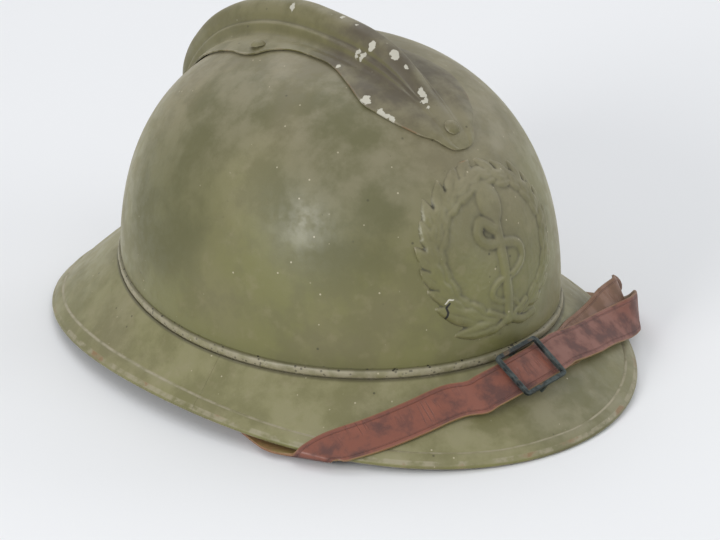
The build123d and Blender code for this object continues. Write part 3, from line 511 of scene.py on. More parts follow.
def turns(count):
    """Angles of a whole turn in equal steps."""
    return [2 * pi * step / count for step in range(count)]


def wobble(point, size, depth, seed=0.0):
    """Smooth random depth at a point."""
    return depth * noise.noise(point / size + Vector((seed, seed, seed)))


# Mesh helpers


@contextmanager
def edited(mesh):
    """Mesh opened for work on its points and faces."""
    work = bmesh.new()
    work.from_mesh(mesh)
    yield work
    work.to_mesh(mesh)
    work.free()


def shade(mesh, sharp):
    """Smooth shading up to an angle between faces."""
    mesh.shade_smooth()
    mesh.set_sharp_from_angle(angle=radians(sharp))


def new_object(name, mesh):
    """Object with a mesh, linked to the scene."""
    made = bpy.data.objects.new(name, mesh)
    bpy.context.scene.collection.objects.link(made)
    return made


def skin(name, rows, close_rows=False, close_columns=False, caps=False, sharp=40.0, uvs=None):
    """Smooth mesh over rows of points."""
    count = len(rows[0])
    faces, corner_uvs = [], []
    row_steps = len(rows) if close_rows else len(rows) - 1
    column_steps = count if close_columns else count - 1
    for row in range(row_steps):
        after = (row + 1) % len(rows)
        for column in range(column_steps):
            beside = (column + 1) % count
            faces.append(
                (row * count + column, row * count + beside, after * count + beside,
                 after * count + column)
            )
            if uvs:
                corner_uvs += [
                    (uvs[0][row], uvs[1][column]), (uvs[0][row], uvs[1][column + 1]),
                    (uvs[0][row + 1], uvs[1][column + 1]), (uvs[0][row + 1], uvs[1][column]),
                ]
    if caps:
        faces.append(tuple(reversed(range(count))))
        faces.append(tuple((len(rows) - 1) * count + column for column in range(count)))
        if uvs:
            corner_uvs += [(uvs[0][0], uvs[1][column]) for column in reversed(range(count))]
            corner_uvs += [(uvs[0][-1], uvs[1][column]) for column in range(count)]
    mesh = bpy.data.meshes.new(name)
    mesh.from_pydata([tuple(point) for row in rows for point in row], [], faces)
    if uvs:
        layer = mesh.uv_layers.new(name="along_across")
        layer.data.foreach_set("uv", [value for pair in corner_uvs for value in pair])
    finish_mesh(mesh, sharp)
    return new_object(name, mesh)


def finish_mesh(mesh, sharp):
    """Loose points removed, faces turned outward and shaded."""
    with edited(mesh) as work:
        loose = [point for point in work.verts if not point.link_faces]
        bmesh.ops.delete(work, geom=loose, context="VERTS")
        bmesh.ops.recalc_face_normals(work, faces=work.faces)
    shade(mesh, sharp)
    mesh.update()


def mark_points(piece, name, values):
    """Value on each point of a mesh, for its material."""
    piece.data.attributes.new(name, "FLOAT", "POINT").data.foreach_set("value", values)


def join(name, parts):
    """One object from several."""
    with bpy.context.temp_override(
        active_object=parts[0], object=parts[0], selected_objects=parts,
        selected_editable_objects=parts,
    ):
        bpy.ops.object.join()
    parts[0].name = name
    parts[0].data.name = name
    return parts[0]


def evaluated_copy(name, source):
    """Object with the mesh that another one's modifiers give, shaded. The other is removed."""
    bpy.context.view_layer.update()
    graph = bpy.context.evaluated_depsgraph_get()
    mesh = bpy.data.meshes.new_from_object(source.evaluated_get(graph), depsgraph=graph)
    mesh.name = name
    bpy.data.objects.remove(source)
    shade(mesh, 50)
    return new_object(name, mesh)


def neighbours(points, place, closed=False):
    """Points before and after one of a row. At an open row's ends it is the end itself."""
    if closed:
        return points[place - 1], points[(place + 1) % len(points)]
    return points[max(place - 1, 0)], points[min(place + 1, len(points) - 1)]


def spline_through(points, steps):
    """Points of a smooth curve through given ones, with steps between each two."""
    made = []
    for place in range(len(points) - 1):
        first, second = points[place], points[place + 1]
        before, _ = neighbours(points, place)
        _, after = neighbours(points, place + 1)
        for step in range(steps):
            t = step / steps
            made.append(
                first * (1 - 3 * t * t + 2 * t**3)
                + second * (3 * t * t - 2 * t**3)
                + (second - before) * ((t - 2 * t * t + t**3) / 2)
                + (after - first) * ((t**3 - t * t) / 2)
            )
    made.append(points[-1])
    return made


def cord(name, path, radius, up, closed=False, sides=10):
    """Round cord along a path."""
    rows = []
    for place, point in enumerate(path):
        before, after = neighbours(path, place, closed)
        along = (after - before).normalized()
        rise = (up - along * along.dot(up)).normalized()
        side = along.cross(rise)
        rows.append(
            [point + side * (radius * cos(bend)) + rise * (radius * sin(bend)) for bend in turns(sides)]
        )
    return skin(name, rows, close_rows=closed, close_columns=True, caps=not closed)


# Node groups that repeat a small form


def scatter_group():
    """Node group that puts a form on every place, turned by the places' attribute."""
    group = bpy.data.node_groups.new("scatter_form", "GeometryNodeTree")
    for name, way, kind in (
        ("Places", "INPUT", "Geometry"), ("Form", "INPUT", "Object"), ("Geometry", "OUTPUT", "Geometry"),
    ):
        group.interface.new_socket(name, in_out=way, socket_type="NodeSocket" + kind)
    start = put(group, "NodeGroupInput").outputs
    form = put(group, "GeometryNodeObjectInfo", {"Object": start["Form"]}).outputs
    spin = put(group, "GeometryNodeInputNamedAttribute", {"Name": "spin"}, data_type="FLOAT_VECTOR")
    spin = put(group, "FunctionNodeEulerToRotation", {"Euler": spin.outputs["Attribute"]})
    copies = put(
        group,
        "GeometryNodeInstanceOnPoints",
        {
            "Points": start["Places"],
            "Instance": form["Geometry"],
            "Rotation": spin.outputs["Rotation"],
        },
    )
    real = put(group, "GeometryNodeRealizeInstances", {"Geometry": copies.outputs["Instances"]})
    put(group, "NodeGroupOutput", {"Geometry": real.outputs["Geometry"]})
    return group


def scatter(name, places, form):
    """Mesh object of copies of a form, which is removed. A place is a point and its axes."""
    mesh = bpy.data.meshes.new(name + "_places")
    mesh.from_pydata([tuple(point) for point, _ in places], [], [])
    spins = [value for _, turned in places for value in turned.to_euler()]
    mesh.attributes.new("spin", "FLOAT_VECTOR", "POINT").data.foreach_set("vector", spins)
    carrier = new_object(name + "_carrier", mesh)
    group = scatter_group()
    modifier = carrier.modifiers.new("scatter", "NODES")
    modifier.node_group = group
    sockets = {item.name: item.identifier for item in group.interface.items_tree}
    modifier[sockets["Form"]] = form
    made = evaluated_copy(name, carrier)
    bpy.data.objects.remove(form)
    return made


def axes(along, up):
    """Turn that brings X along a direction and Z near another."""
    x = along.normalized()
    z = (up - x * x.dot(up)).normalized()
    y = z.cross(x)
    return Matrix((x, y, z)).transposed()


# Materials


def put(tree, kind, inputs=None, **settings):
    """Node with its settings, values and links."""
    made = tree.nodes.new(kind)
    for key, value in settings.items():
        setattr(made, key, value)
    for key, value in (inputs or {}).items():
        socket = made.inputs[key]
        if isinstance(value, bpy.types.NodeSocket):
            tree.links.new(value, socket)
        else:
            socket.default_value = value
    return made


def darkened(value, part):
    """Colour made darker."""
    return (value[0] * part, value[1] * part, value[2] * part, 1.0)


def lightened(value, part):
    """Colour made lighter."""
    return tuple(min(1.0, channel * part) for channel in value[:3]) + (1.0,)


class Coat:
    """Material whose colour is laid on in layers. Marks have their size in millimetres."""

    def __init__(self, name, tint):
        self.made = bpy.data.materials.new(name)
        self.made.use_nodes = True
        self.tree = self.made.node_tree
        self.tree.nodes.clear()
        self.where = self.put("ShaderNodeTexCoord").outputs["Object"]
        self.tint = tint

    def put(self, kind, inputs=None, **settings):
        """Node of this material."""
        return put(self.tree, kind, inputs, **settings)

    def mix(self, factor, first, second):
        """Colour between two."""
        made = self.put("ShaderNodeMix", {0: factor, 6: first, 7: second}, data_type="RGBA")
        return made.outputs[2]

    def lay(self, amount, colour_over, strength=None):
        """Lays a colour over what is there."""
        if strength is not None:
            amount = self.times(amount, strength)
        self.tint = self.mix(amount, self.tint, colour_over)

    def remap(self, value, low, high, first=0.0, last=1.0):
        """Value moved from one range to another, held inside it."""
        made = self.put(
            "ShaderNodeMapRange",
            {"Value": value, "From Min": low, "From Max": high, "To Min": first, "To Max": last},
            interpolation_type="SMOOTHSTEP",
        )
        return made.outputs["Result"]

    def maths(self, operation, first, second=0.0):
        """Result of an operation on two values."""
        return self.put("ShaderNodeMath", {0: first, 1: second}, operation=operation).outputs[0]

    def times(self, first, second):
        """Product of two values."""
        return self.maths("MULTIPLY", first, second)

    def plus(self, first, second):
        """Sum of two values."""
        return self.maths("ADD", first, second)

    def minus(self, first, second):
        """First value less the second."""
        return self.maths("SUBTRACT", first, second)

    def larger(self, first, second):
        """Larger of two values."""
        return self.maths("MAXIMUM", first, second)

    def apart(self, value, middle):
        """How far a value lies from another, on either side."""
        return self.maths("ABSOLUTE", self.minus(value, middle))

    def axis(self, vector, name):
        """One part of a vector."""
        return self.put("ShaderNodeSeparateXYZ", {"Vector": vector}).outputs[name]

    def marked(self, name):
        """Value that the mesh carries on its points."""
        return self.put("ShaderNodeAttribute", attribute_name=name).outputs["Fac"]

    def grain(self, size, detail=4.0, rough=0.5, where=None):
        """Random value between 0 and 1."""
        inputs = {"Vector": where or self.where, "Scale": 1 / (size * MM)}
        inputs.update({"Detail": detail, "Roughness": rough})
        return self.put("ShaderNodeTexNoise", inputs).outputs["Fac"]

    def cells(self, size):
        """Distance to the nearest random point."""
        inputs = {"Vector": self.where, "Scale": 1 / (size * MM)}
        return self.put("ShaderNodeTexVoronoi", inputs).outputs["Distance"]

    def ribs(self, scale, distortion):
        """Slanted ribs."""
        return self.put(
            "ShaderNodeTexWave",
            {"Vector": self.where, "Scale": scale, "Distortion": distortion},
            wave_type="BANDS", bands_direction="DIAGONAL",
        ).outputs["Fac"]

    def gone(self, place, where=None):
        """Distance from a place in millimetres."""
        ends = {0: where or self.where, 1: tuple(value * MM for value in place)}
        return self.put("ShaderNodeVectorMath", ends, operation="DISTANCE").outputs["Value"]

    def near(self, place, reach, soft):
        """1 near a place in millimetres and 0 far from it."""
        return self.remap(self.gone(place), reach * MM, (reach + soft) * MM, 1.0, 0.0)

    def finish(self, rough, bumps, others=None):
        """Main shader and output. A bump is a height, its depth in millimetres and its strength."""
        inputs = {"Base Color": self.tint, "Roughness": rough, **(others or {})}
        for height, depth, strength in bumps:
            bump = {"Height": height, "Distance": depth * MM, "Strength": strength}
            if "Normal" in inputs:
                bump["Normal"] = inputs["Normal"]
            inputs["Normal"] = self.put("ShaderNodeBump", bump).outputs["Normal"]
        shader = self.put("ShaderNodeBsdfPrincipled", inputs)
        self.put("ShaderNodeOutputMaterial", {"Surface": shader.outputs[0]})
        return self.made


def over_seam(coat):
    """Height over the seam line, which bead_height gives."""
    s = sizes()
    part = coat.maths("DIVIDE", coat.axis(coat.where, "Y"), s.bowl_half_length)
    dip = (s.bead_rear + s.bead_front) / 2 - s.bead_side
    line = coat.times(coat.times(part, part), dip)
    line = coat.plus(line, coat.times(part, (s.bead_rear - s.bead_front) / 2))
    return coat.minus(coat.minus(coat.axis(coat.where, "Z"), s.bead_side), line)


def worn_roll(coat, seam, patch):
    """Crimped roll: rubbed pale, darker along its top crease, with a painted shadow in the corner under
    it. Gives its dark pits.
    """
    look, s = looks(), sizes()
    roll = coat.remap(seam, s.roll_above + 0.2 * MM, s.roll_above - 0.6 * MM)
    roll = coat.times(roll, coat.remap(seam, -1.6 * MM, -0.8 * MM))
    coat.lay(coat.times(roll, coat.remap(patch, 0.35, 0.6, 0.3, 0.75)), look.dust[:])
    edge_line = coat.remap(coat.apart(seam, s.roll_above), 0.9 * MM, 0.3 * MM)
    pit = coat.times(coat.remap(coat.cells(2.0), 0.34, 0.2), coat.remap(patch, 0.44, 0.54))
    pit = coat.times(coat.larger(coat.times(roll, 0.6), edge_line), pit)
    coat.lay(pit, darkened(look.grime_and_shade[:], 0.6))
    # darker line along the roll's top crease
    coat.lay(edge_line, look.grime_and_shade[:], 0.35)
    # painted shadow in the corner under the roll
    coat.lay(coat.remap(coat.apart(seam, -s.roll_below), 1.1 * MM, 0.2 * MM), look.grime_and_shade[:], 0.6)
    return pit


def specks(coat):
    """Tiny pale and dark specks."""
    look = looks()
    for size, reach, region, low, high, speck, strength in (
        (6.5, 0.075, 16, 0.47, 0.55, lightened(look.dust[:], 1.45), 0.75),
        (8.5, 0.085, 30, 0.48, 0.56, look.grime_and_shade[:], 0.65),
    ):
        spot = coat.times(
            coat.remap(coat.cells(size), reach, 0.05), coat.remap(coat.grain(region), low, high)
        )
        coat.lay(spot, speck, strength)


def worn_rim(coat, patch, edge):
    """Rim of the brim: its pressed line and its edge are rubbed pale and rusty in places."""
    look = looks()
    rim = coat.marked("rim_distance")
    has_rim = coat.remap(rim, 0.0001, 0.02)
    line = coat.remap(coat.apart(rim, PRESSED_LINE), 0.9, 0.25)
    line = coat.times(line, coat.remap(patch, 0.35, 0.6, 0.15, 0.9))
    lip = coat.times(coat.remap(coat.apart(rim, 1.0), 1.0, 0.6), coat.remap(patch, 0.42, 0.6))
    lip = coat.times(lip, has_rim)
    coat.lay(coat.times(line, has_rim), lightened(look.dust[:], 1.05))
    coat.lay(lip, look.dust[:], 0.6)
    rust = coat.times(coat.larger(edge, lip), coat.remap(coat.grain(14), 0.56, 0.66))
    coat.lay(rust, look.rust[:], 0.75)


def bare_chips(coat, chips, cloud, facing):
    """Crown without its top coat, down to brown primer and bare metal. Gives the bare metal."""
    look = looks()
    bald = coat.times(coat.near(*BALD_CROWN), coat.remap(facing, 0.1, 0.6, 0.2, 1.0))
    bald = coat.times(bald, coat.remap(cloud, 0.35, 0.6, 0.35, 1.0))
    coat.lay(bald, look.primer[:], 0.75)
    torn = coat.times(coat.minus(coat.grain(2.6, 4, 0.6), 0.5), 5.0 * MM)
    squash = (1.0, 1.0, 0.3)
    flat = coat.put("ShaderNodeVectorMath", {0: coat.where, 1: squash}, operation="MULTIPLY")
    bare = 0.0
    for centre, reach in chips:
        middle = [value * part for value, part in zip(centre, squash)]
        gone = coat.plus(coat.gone(middle, flat.outputs[0]), torn)
        bare = coat.larger(bare, coat.remap(gone, reach * MM, (reach - 0.25) * MM))
    coat.lay(bare, look.chip[:])
    return bare


def painted_steel(name, base, warm, dusty, mottle, chips=(), clouds=(), worn=1.0):
    """Matt khaki paint: cloudy coat with darker patches, partly painted shade, dust on top, painted
    shade and dirt in hollows, specks, rubbed edges, chips.
    """
    look, s = looks(), sizes()
    coat = Coat(name, base)
    shape = coat.put("ShaderNodeNewGeometry").outputs
    point = shape["Pointiness"]
    facing = coat.axis(shape["Normal"], "Z")
    cloud = coat.grain(24, 6, 0.62)
    patch = coat.grain(7, 6, 0.6)
    # the coat goes from yellow-green low down to brown-grey above, in clouds
    rise = coat.times(coat.remap(coat.axis(coat.where, "Z"), 0.07, 0.14), 0.75)
    coat.lay(coat.plus(rise, coat.remap(coat.grain(60, 3), 0.35, 0.7, -0.25, 0.5)), warm)
    coat.lay(coat.remap(cloud, 0.40, 0.60, 0.0, mottle), darkened(warm, 0.5))
    coat.lay(coat.remap(patch, 0.52, 0.7, 0.0, 0.35), lightened(warm, 1.2))
    # darker patches at given places: partly uneven paint, partly painted shade
    for centre, reach, soft in clouds:
        amount = coat.remap(cloud, 0.3, 0.6, 0.6, 0.95)
        coat.lay(coat.times(coat.near(centre, reach, soft), amount), darkened(base, 0.62))
    # dust lies on faces that look up, where the coat is rubbed
    settled = coat.times(coat.remap(facing, 0.1, 1.0), dusty)
    settled = coat.times(settled, coat.remap(cloud, 0.62, 0.36, 0.3, 1.2))
    coat.lay(settled, look.dust[:])
    seam = over_seam(coat)
    pit = worn_roll(coat, seam, patch)
    specks(coat)
    # hollows get painted shade and dirt, less of it near the seam, and edges are rubbed
    hollow_shade_and_dirt = coat.times(coat.remap(point, 0.495, 0.44), worn)
    fade = coat.remap(seam, s.roll_above + 6 * MM, s.roll_above + 14 * MM, 0.12, 1.0)
    coat.lay(coat.times(hollow_shade_and_dirt, fade), look.grime_and_shade[:], 0.75)
    edge = coat.times(coat.remap(point, 0.515, 0.58), coat.remap(patch, 0.38, 0.6, 0.0, worn))
    coat.lay(edge, lightened(look.dust[:], 1.1), 0.6)
    worn_rim(coat, patch, edge)
    # the badge carries marks for its hollows, which get painted shade and dirt, for its crack and for
    # its nick
    fold = coat.times(coat.marked("hollow_shade_and_dirt"), coat.remap(patch, 0.35, 0.6, 0.35, 0.8))
    coat.lay(fold, darkened(look.grime_and_shade[:], 0.8))
    coat.lay(coat.remap(coat.marked("gap"), 0.1, 0.5), CRACK_COLOUR)
    coat.lay(coat.remap(coat.marked("nick"), 0.15, 0.5), look.chip[:])
    metal = coat.times(bare_chips(coat, chips, cloud, facing), 0.2) if chips else 0.0
    rough = coat.plus(
        coat.remap(cloud, 0.35, 0.65, 0.38, 0.5), coat.remap(patch, 0.4, 0.6, -0.05, 0.06)
    )
    return coat.finish(
        coat.plus(rough, coat.times(settled, 0.25)),
        [(cloud, 0.5, 0.25), (patch, 0.18, 0.4), (coat.grain(1.1, 3), 0.05, 0.5), (pit, -0.3, 0.7)],
        {"Metallic": metal, "Specular IOR Level": 0.5, "Sheen Weight": 0.45,
         "Sheen Roughness": 0.35, "Sheen Tint": lightened(look.dust[:], 1.6)},
    )


def strap_leather(name, inside=False):
    """Old red-brown strap: blotches, cross creases, a pressed line by each edge, tan cut edges."""
    look, s = looks(), sizes()
    coat = Coat(name, look.strap[:])
    spread = coat.put("ShaderNodeUVMap", uv_map="along_across").outputs["UV"]
    along, across = coat.axis(spread, "X"), coat.axis(spread, "Y")
    half = s.strap_width / 2
    # across runs over the face from -half to half, and past that it counts the edge and back
    from_middle = coat.maths("ABSOLUTE", across)
    blotch = coat.grain(9, 5, 0.6)
    broad = coat.grain(26, 3)
    pulled = coat.put("ShaderNodeCombineXYZ", {"X": along, "Y": coat.times(across, 0.1)})
    crease = coat.grain(4.5, 2, 0.45, pulled.outputs[0])
    crease_line = coat.remap(coat.apart(crease, 0.5), 0.0, 0.03, 1.0, 0.0)
    crease_line = coat.times(crease_line, coat.remap(broad, 0.5, 0.62))
    coat.lay(coat.remap(blotch, 0.42, 0.66, 0.0, 0.75), look.strap_dark[:])
    coat.lay(coat.remap(broad, 0.5, 0.7, 0.0, 0.6), lightened(look.strap[:], 1.35))
    coat.lay(crease_line, look.strap_dark[:], 0.4)
    rim = coat.remap(from_middle, half - 0.9 * MM, half - 0.2 * MM)
    coat.lay(coat.times(rim, coat.remap(blotch, 0.35, 0.6, 0.35, 0.9)), look.strap_edge[:])
    back = coat.remap(from_middle, half + s.strap_thickness * 0.9, half + s.strap_thickness)
    flesh = coat.mix(coat.remap(blotch, 0.4, 0.65), look.strap_edge[:], look.strap_flesh[:])
    coat.lay(back, flesh)
    if inside:
        coat.lay(0.6, darkened(look.strap_edge[:], 0.8))
    line = coat.remap(coat.apart(from_middle, half - 2.1 * MM), 0.12 * MM, 0.5 * MM)
    coat.lay(coat.minus(1.0, line), look.strap_dark[:], 0.22)
    return coat.finish(
        coat.remap(blotch, 0.4, 0.62, 0.42, 0.62),
        [(line, 0.35, 0.8), (crease, 0.3, 0.35), (crease_line, -0.25, 0.8), (blotch, 0.3, 0.25),
         (coat.cells(0.7), 0.05, 0.35)],
        {"Specular IOR Level": 0.45},
    )


def plain_leather(name, tint):
    """Soft brown lining leather: pebbled grain and darker worn patches."""
    coat = Coat(name, tint)
    patch = coat.grain(18, 5, 0.6)
    coat.lay(coat.remap(patch, 0.4, 0.65), darkened(tint, 0.55))
    rough = coat.remap(patch, 0.4, 0.6, 0.45, 0.7)
    return coat.finish(rough, [(patch, 0.8, 0.4), (coat.cells(1.3), 0.15, 0.6)])


def cloth(name, tint):
    """Fulled wool cloth: soft fibres and a faint twill."""
    coat = Coat(name, darkened(tint, 0.7))
    fibre = coat.grain(1.2, 6, 0.7)
    coat.lay(fibre, lightened(tint, 1.3))
    coat.lay(coat.remap(coat.grain(14, 4), 0.45, 0.7, 0.0, 0.5), darkened(tint, 0.6))
    return coat.finish(
        0.95, [(coat.ribs(260.0, 2.0), 0.15, 0.4), (fibre, 0.3, 0.6)],
        {"Sheen Weight": 0.4, "Specular IOR Level": 0.2},
    )


def iron(name):
    """Blackened iron: worn grey on its edges, dark in its corners, with a dull sheen."""
    look = looks()
    coat = Coat(name, look.iron[:])
    patch = coat.grain(3.5, 5, 0.6)
    coat.lay(coat.remap(patch, 0.4, 0.62), look.iron_worn[:])
    point = coat.put("ShaderNodeNewGeometry").outputs["Pointiness"]
    coat.lay(coat.remap(point, 0.51, 0.6), lightened(look.iron_worn[:], 1.3), 0.6)
    coat.lay(coat.remap(coat.grain(6), 0.6, 0.7, 0.0, 0.5), look.rust[:])
    return coat.finish(
        coat.remap(patch, 0.4, 0.6, 0.4, 0.62),
        [(patch, 0.2, 0.4), (coat.cells(0.9), 0.06, 0.6)], {"Metallic": 0.55},
    )


def rolled_alloy(name):
    """Dull rolled strip with fine lines along it and grey stains."""
    tint = looks().alloy[:]
    coat = Coat(name, tint)
    drawn = coat.put("ShaderNodeMapping", {"Vector": coat.where, "Scale": (0.2, 0.2, 3.0)})
    stain = coat.grain(9, 5)
    coat.lay(coat.remap(stain, 0.45, 0.65, 0.0, 0.7), darkened(tint, 0.45))
    return coat.finish(
        coat.remap(stain, 0.4, 0.6, 0.35, 0.55),
        [(coat.grain(0.6, 3, 0.5, drawn.outputs[0]), 0.03, 0.4)], {"Metallic": 0.9},
    )


def waxed_lace(name):
    """Waxed cotton lace: tight slanted plies."""
    tint = looks().lace[:]
    coat = Coat(name, darkened(tint, 0.6))
    ply = coat.ribs(420.0, 1.0)
    coat.lay(ply, lightened(tint, 1.2))
    return coat.finish(0.7, [(ply, 0.15, 0.7)])


def material(name):
    """Material by name, made at its first use."""
    if name in bpy.data.materials:
        return bpy.data.materials[name]
    look = looks()
    paint, warm, crest = look.paint[:], look.paint_warm[:], look.crest_paint[:]
    brim, warm_brim = lightened(paint, 1.16), lightened(warm, 1.08)
    makers = {
        "khaki_painted_steel": (painted_steel, paint, warm, 0.36, 0.3, (), PAINT_AND_SHADE_CLOUDS),
        "brim_painted_steel": (painted_steel, brim, warm_brim, 0.36, 0.34, (), BRIM_PAINT_AND_SHADE_CLOUDS, 0.1),
        "crest_painted_steel": (painted_steel, crest, crest, 0.35, 0.35, CHIPS),
        "red_brown_strap_leather": (strap_leather,),
        "strap_flesh_side": (strap_leather, True),
        "worn_black_iron": (iron,),
        "lining_leather": (plain_leather, look.liner[:]),
        "wool_cloth": (cloth, look.felt[:]),
        "waxed_lace": (waxed_lace,),
        "rolled_alloy": (rolled_alloy,),
    }
    maker, *values = makers[name]
    return maker(name, *values)


def finish_piece(piece, body, slot, look, *nodes):
    """Material, body and the nodes that a piece stands for. The slot is not used.
    A piece given two bodies and two points instead of a body keeps no body: its placement is baked into
    its mesh."""
    piece.data.materials.clear()
    piece.data.materials.append(material(look))
    if isinstance(body, str):
        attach(piece, body)
    else:
        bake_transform(piece)
    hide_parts(*nodes)


def slot_cutter(s):
    """Solid that opens the air slot in the bowl's top."""
    rows = []
    for z in (s.bowl_top - 25 * MM, s.bowl_top + 10 * MM):
        ring = []
        for bend in turns(32):
            end = 1 if sin(bend) >= 0 else -1
            middle = s.slot_y + end * (s.slot_length - s.slot_width) / 2
            x, y = s.slot_width / 2 * cos(bend), s.slot_width / 2 * sin(bend)
            ring.append(Vector((x, middle + y, z)))
        rows.append(ring)
    return skin("slot_cutter", rows, close_columns=True, caps=True)


def bowl_row(s, angle):
    """Section of the bowl: outside from the top down, crimped roll, then inside up again."""
    direction, seam = section(s, angle)
    outer = shell_curve(s, direction, 0, 0, seam + s.roll_above, BOWL_TOP_SHARE, 60)
    foot = outer[-1][0]
    half = (s.roll_above + s.roll_below) / 2
    middle = seam + (s.roll_above - s.roll_below) / 2
    row = [placed(direction, r, z) for r, z in outer]
    row = [p + bowl_normal(s, p) * wobble(p, 0.045, 0.16 * MM) for p in row]
    # a fine crease runs over the roll
    row[-1] -= direction * (0.35 * MM)
    for part in range(1, 10):
        bend = pi * part / 10
        p = placed(direction, foot + s.roll_proud * sin(bend), middle + half * cos(bend))
        dent = wobble(p, 0.006, 0.3 * MM, 3.0) + wobble(p, 0.0022, 0.12 * MM, 7.0)
        row.append(p + direction * dent * sin(bend))
    low = seam - s.roll_below
    inner = shell_curve(s, direction, s.sheet, s.sheet, low, BOWL_TOP_SHARE, 40)
    row.append(placed(direction, foot, low))
    return row + [placed(direction, r, z) for r, z in reversed(inner)]


class HELMET_OT_bowl(bpy.types.Operator):
    """Bowl: pressed dome with its crimped roll and the air slot"""

    bl_idname = "helmet.bowl"
    bl_label = "Bowl"

    def execute(self, context):
        s = sizes()
        rows = [bowl_row(s, 360 * step / BOWL_SECTIONS) for step in range(BOWL_SECTIONS)]
        bowl = skin("bowl_shell", rows, close_rows=True, close_columns=True, sharp=50)
        cutter = slot_cutter(s)
        cut = bowl.modifiers.new("slot", "BOOLEAN")
        cut.operation = "DIFFERENCE"
        cut.solver = "EXACT"
        cut.object = cutter
        bowl = evaluated_copy("bowl_shell", bowl)
        bpy.data.objects.remove(cutter)
        finish_piece(bowl, HELMET, "painted_steel", "khaki_painted_steel", "bowl")
        return {"FINISHED"}


class HELMET_OT_brim(bpy.types.Operator):
    """Brim: front and rear halves with an inner flange, a pressed line and a rolled rim"""

    bl_idname = "helmet.brim"
    bl_label = "Brim"

    def execute(self, context):
        s = sizes()
        edge = degrees(s.seam_turn)
        for name, node, first, last in (
            ("visor", "front_visor", -edge + HALF_OPENING, edge - HALF_OPENING),
            ("guard", "neck_guard", edge + HALF_OPENING, 360 - edge - HALF_OPENING),
        ):
            steps = int(last - first)
            rows, marks = [], []
            for step in range(steps + 1):
                row, mark = brim_row(s, first + (last - first) * step / steps)
                rows.append(row)
                marks += mark
            half = skin("brim_" + name, rows, close_columns=True, caps=True, sharp=42)
            mark_points(half, "rim_distance", marks)
            finish_piece(half, HELMET, "painted_steel", "brim_painted_steel", node)
        return {"FINISHED"}


def brim_row(s, angle):
    """Section of the brim at an angle, and how far each point lies from the rim."""
    start = bead_point(s, angle)
    away = outward(s, angle)
    reach = brim_reach(s, angle)
    rim = rim_height(s, angle)
    radius = s.rim_roll
    shelf = start.z - s.roll_below - 0.1 * MM
    wall = -s.sheet - s.gap
    flange = start.z + s.flange_rise
    roll_in = reach - radius
    fall = (shelf - rim - radius) / (roll_in - s.roll_proud)
    thick = s.sheet * sqrt(1 + fall * fall)
    inner = reach - 3 * radius
    line = reach - 6.0 * MM
    profile = [(wall, flange), (wall, shelf)]
    base = Vector((start.x, start.y, 0))
    places = [s.roll_proud + (line - 1.4 * MM - s.roll_proud) * step / 18 for step in range(18)]
    places += [line + (roll_in - line) * step / 11 for step in range(-3, 12)]
    for x in places:
        z = shelf - fall * (x - s.roll_proud)
        place = base + placed(away, x, z)
        fade = min(1.0, (x - s.roll_proud) / (6 * MM), max(0.0, (roll_in - x) / (4 * MM)))
        dent = wobble(place, 0.03, 0.5 * MM, 5.0) + wobble(place, 0.009, 0.16 * MM, 9.0)
        part = (x - line) / (roll_in - line)
        swell = 0.75 * MM * sin(pi * part * 0.9) ** 0.8 if part > 0 else 0.0
        press = -0.3 * MM * max(0.0, 1 - abs(x - line) / (1.2 * MM))
        knob = 0.8 * MM * max(0.0, 1 - ((place - KNOB).length / (3.2 * MM)) ** 2)
        profile.append((x, z + dent * fade + press + swell + knob))
    for part in range(1, 12):
        bend = pi / 2 - 1.25 * pi * part / 12
        profile.append((roll_in + radius * cos(bend), rim + radius * sin(bend)))
    profile += [
        (reach - 2 * radius, rim),
        (inner, shelf - thick - fall * (inner - s.roll_proud)),
        (s.roll_proud - s.sheet / 2, shelf - s.sheet),
        (wall - s.sheet, shelf - s.sheet),
        (wall - s.sheet, flange),
    ]
    marks = [(reach - x) / MM for x, _ in profile]
    return [base + placed(away, x, z) for x, z in profile], marks


def fan_radius(s, x, angle):
    """Distance of the bowl's outside from the fan's middle line."""
    low, high = 0.0, s.bowl_half_length * 2
    height = s.bowl_top - s.bead_side
    for _ in range(26):
        middle = (low + high) / 2
        y = middle * sin(angle)
        z = s.crest_fan + middle * cos(angle)
        part = hypot(x / s.bowl_half_width, y / s.bowl_half_length)
        climb = max(0.0, (z - s.bead_side) / height)
        if part**s.bowl_power + climb**s.bowl_power < 1:
            low = middle
        else:
            high = middle
    return low


def crest_profile(s, width_share, ridge_share, crown_share):
    """Heights across the crest over its seat: ridge, channels and flanges."""
    half = s.crest_half_width * width_share
    ridge = s.crest_ridge * ridge_share
    crown = min(s.crest_crown * crown_share, half / (CHANNEL * sqrt(2)))
    swell = FLANGE_SWELL * s.crest_swell * min(1.0, width_share * 2)
    side = [Vector((crown * out, ridge * up)) for out, up in CREST_SIDE]
    side += [Vector(((crown * CHANNEL + half) / 2, swell)), Vector((half, 0.0))]
    return spline_through([Vector((-p.x, p.y)) for p in reversed(side)] + side[1:], 5)


def crest_row(s, fan, shares):
    """Section of the crest at an angle of the fan: upper side, then lower side back."""
    upper, lower = [], []
    for p in crest_profile(s, *shares):
        dent = wobble(Vector((p.x, fan * 0.1, 0.0)), 0.012, 0.22 * MM, 2.0)
        seat = fan_radius(s, p.x, fan) + s.crest_gap + s.crest_sheet
        upper.append((p.x, seat + p.y + dent))
    for place, (x, h) in enumerate(upper):
        before, after = neighbours(upper, place)
        dx, dh = after[0] - before[0], after[1] - before[1]
        size = hypot(dx, dh)
        lower.append((x + s.crest_sheet * dh / size, h - s.crest_sheet * dx / size))
    return [Vector((x, h * sin(fan), s.crest_fan + h * cos(fan))) for x, h in upper + lower[::-1]]


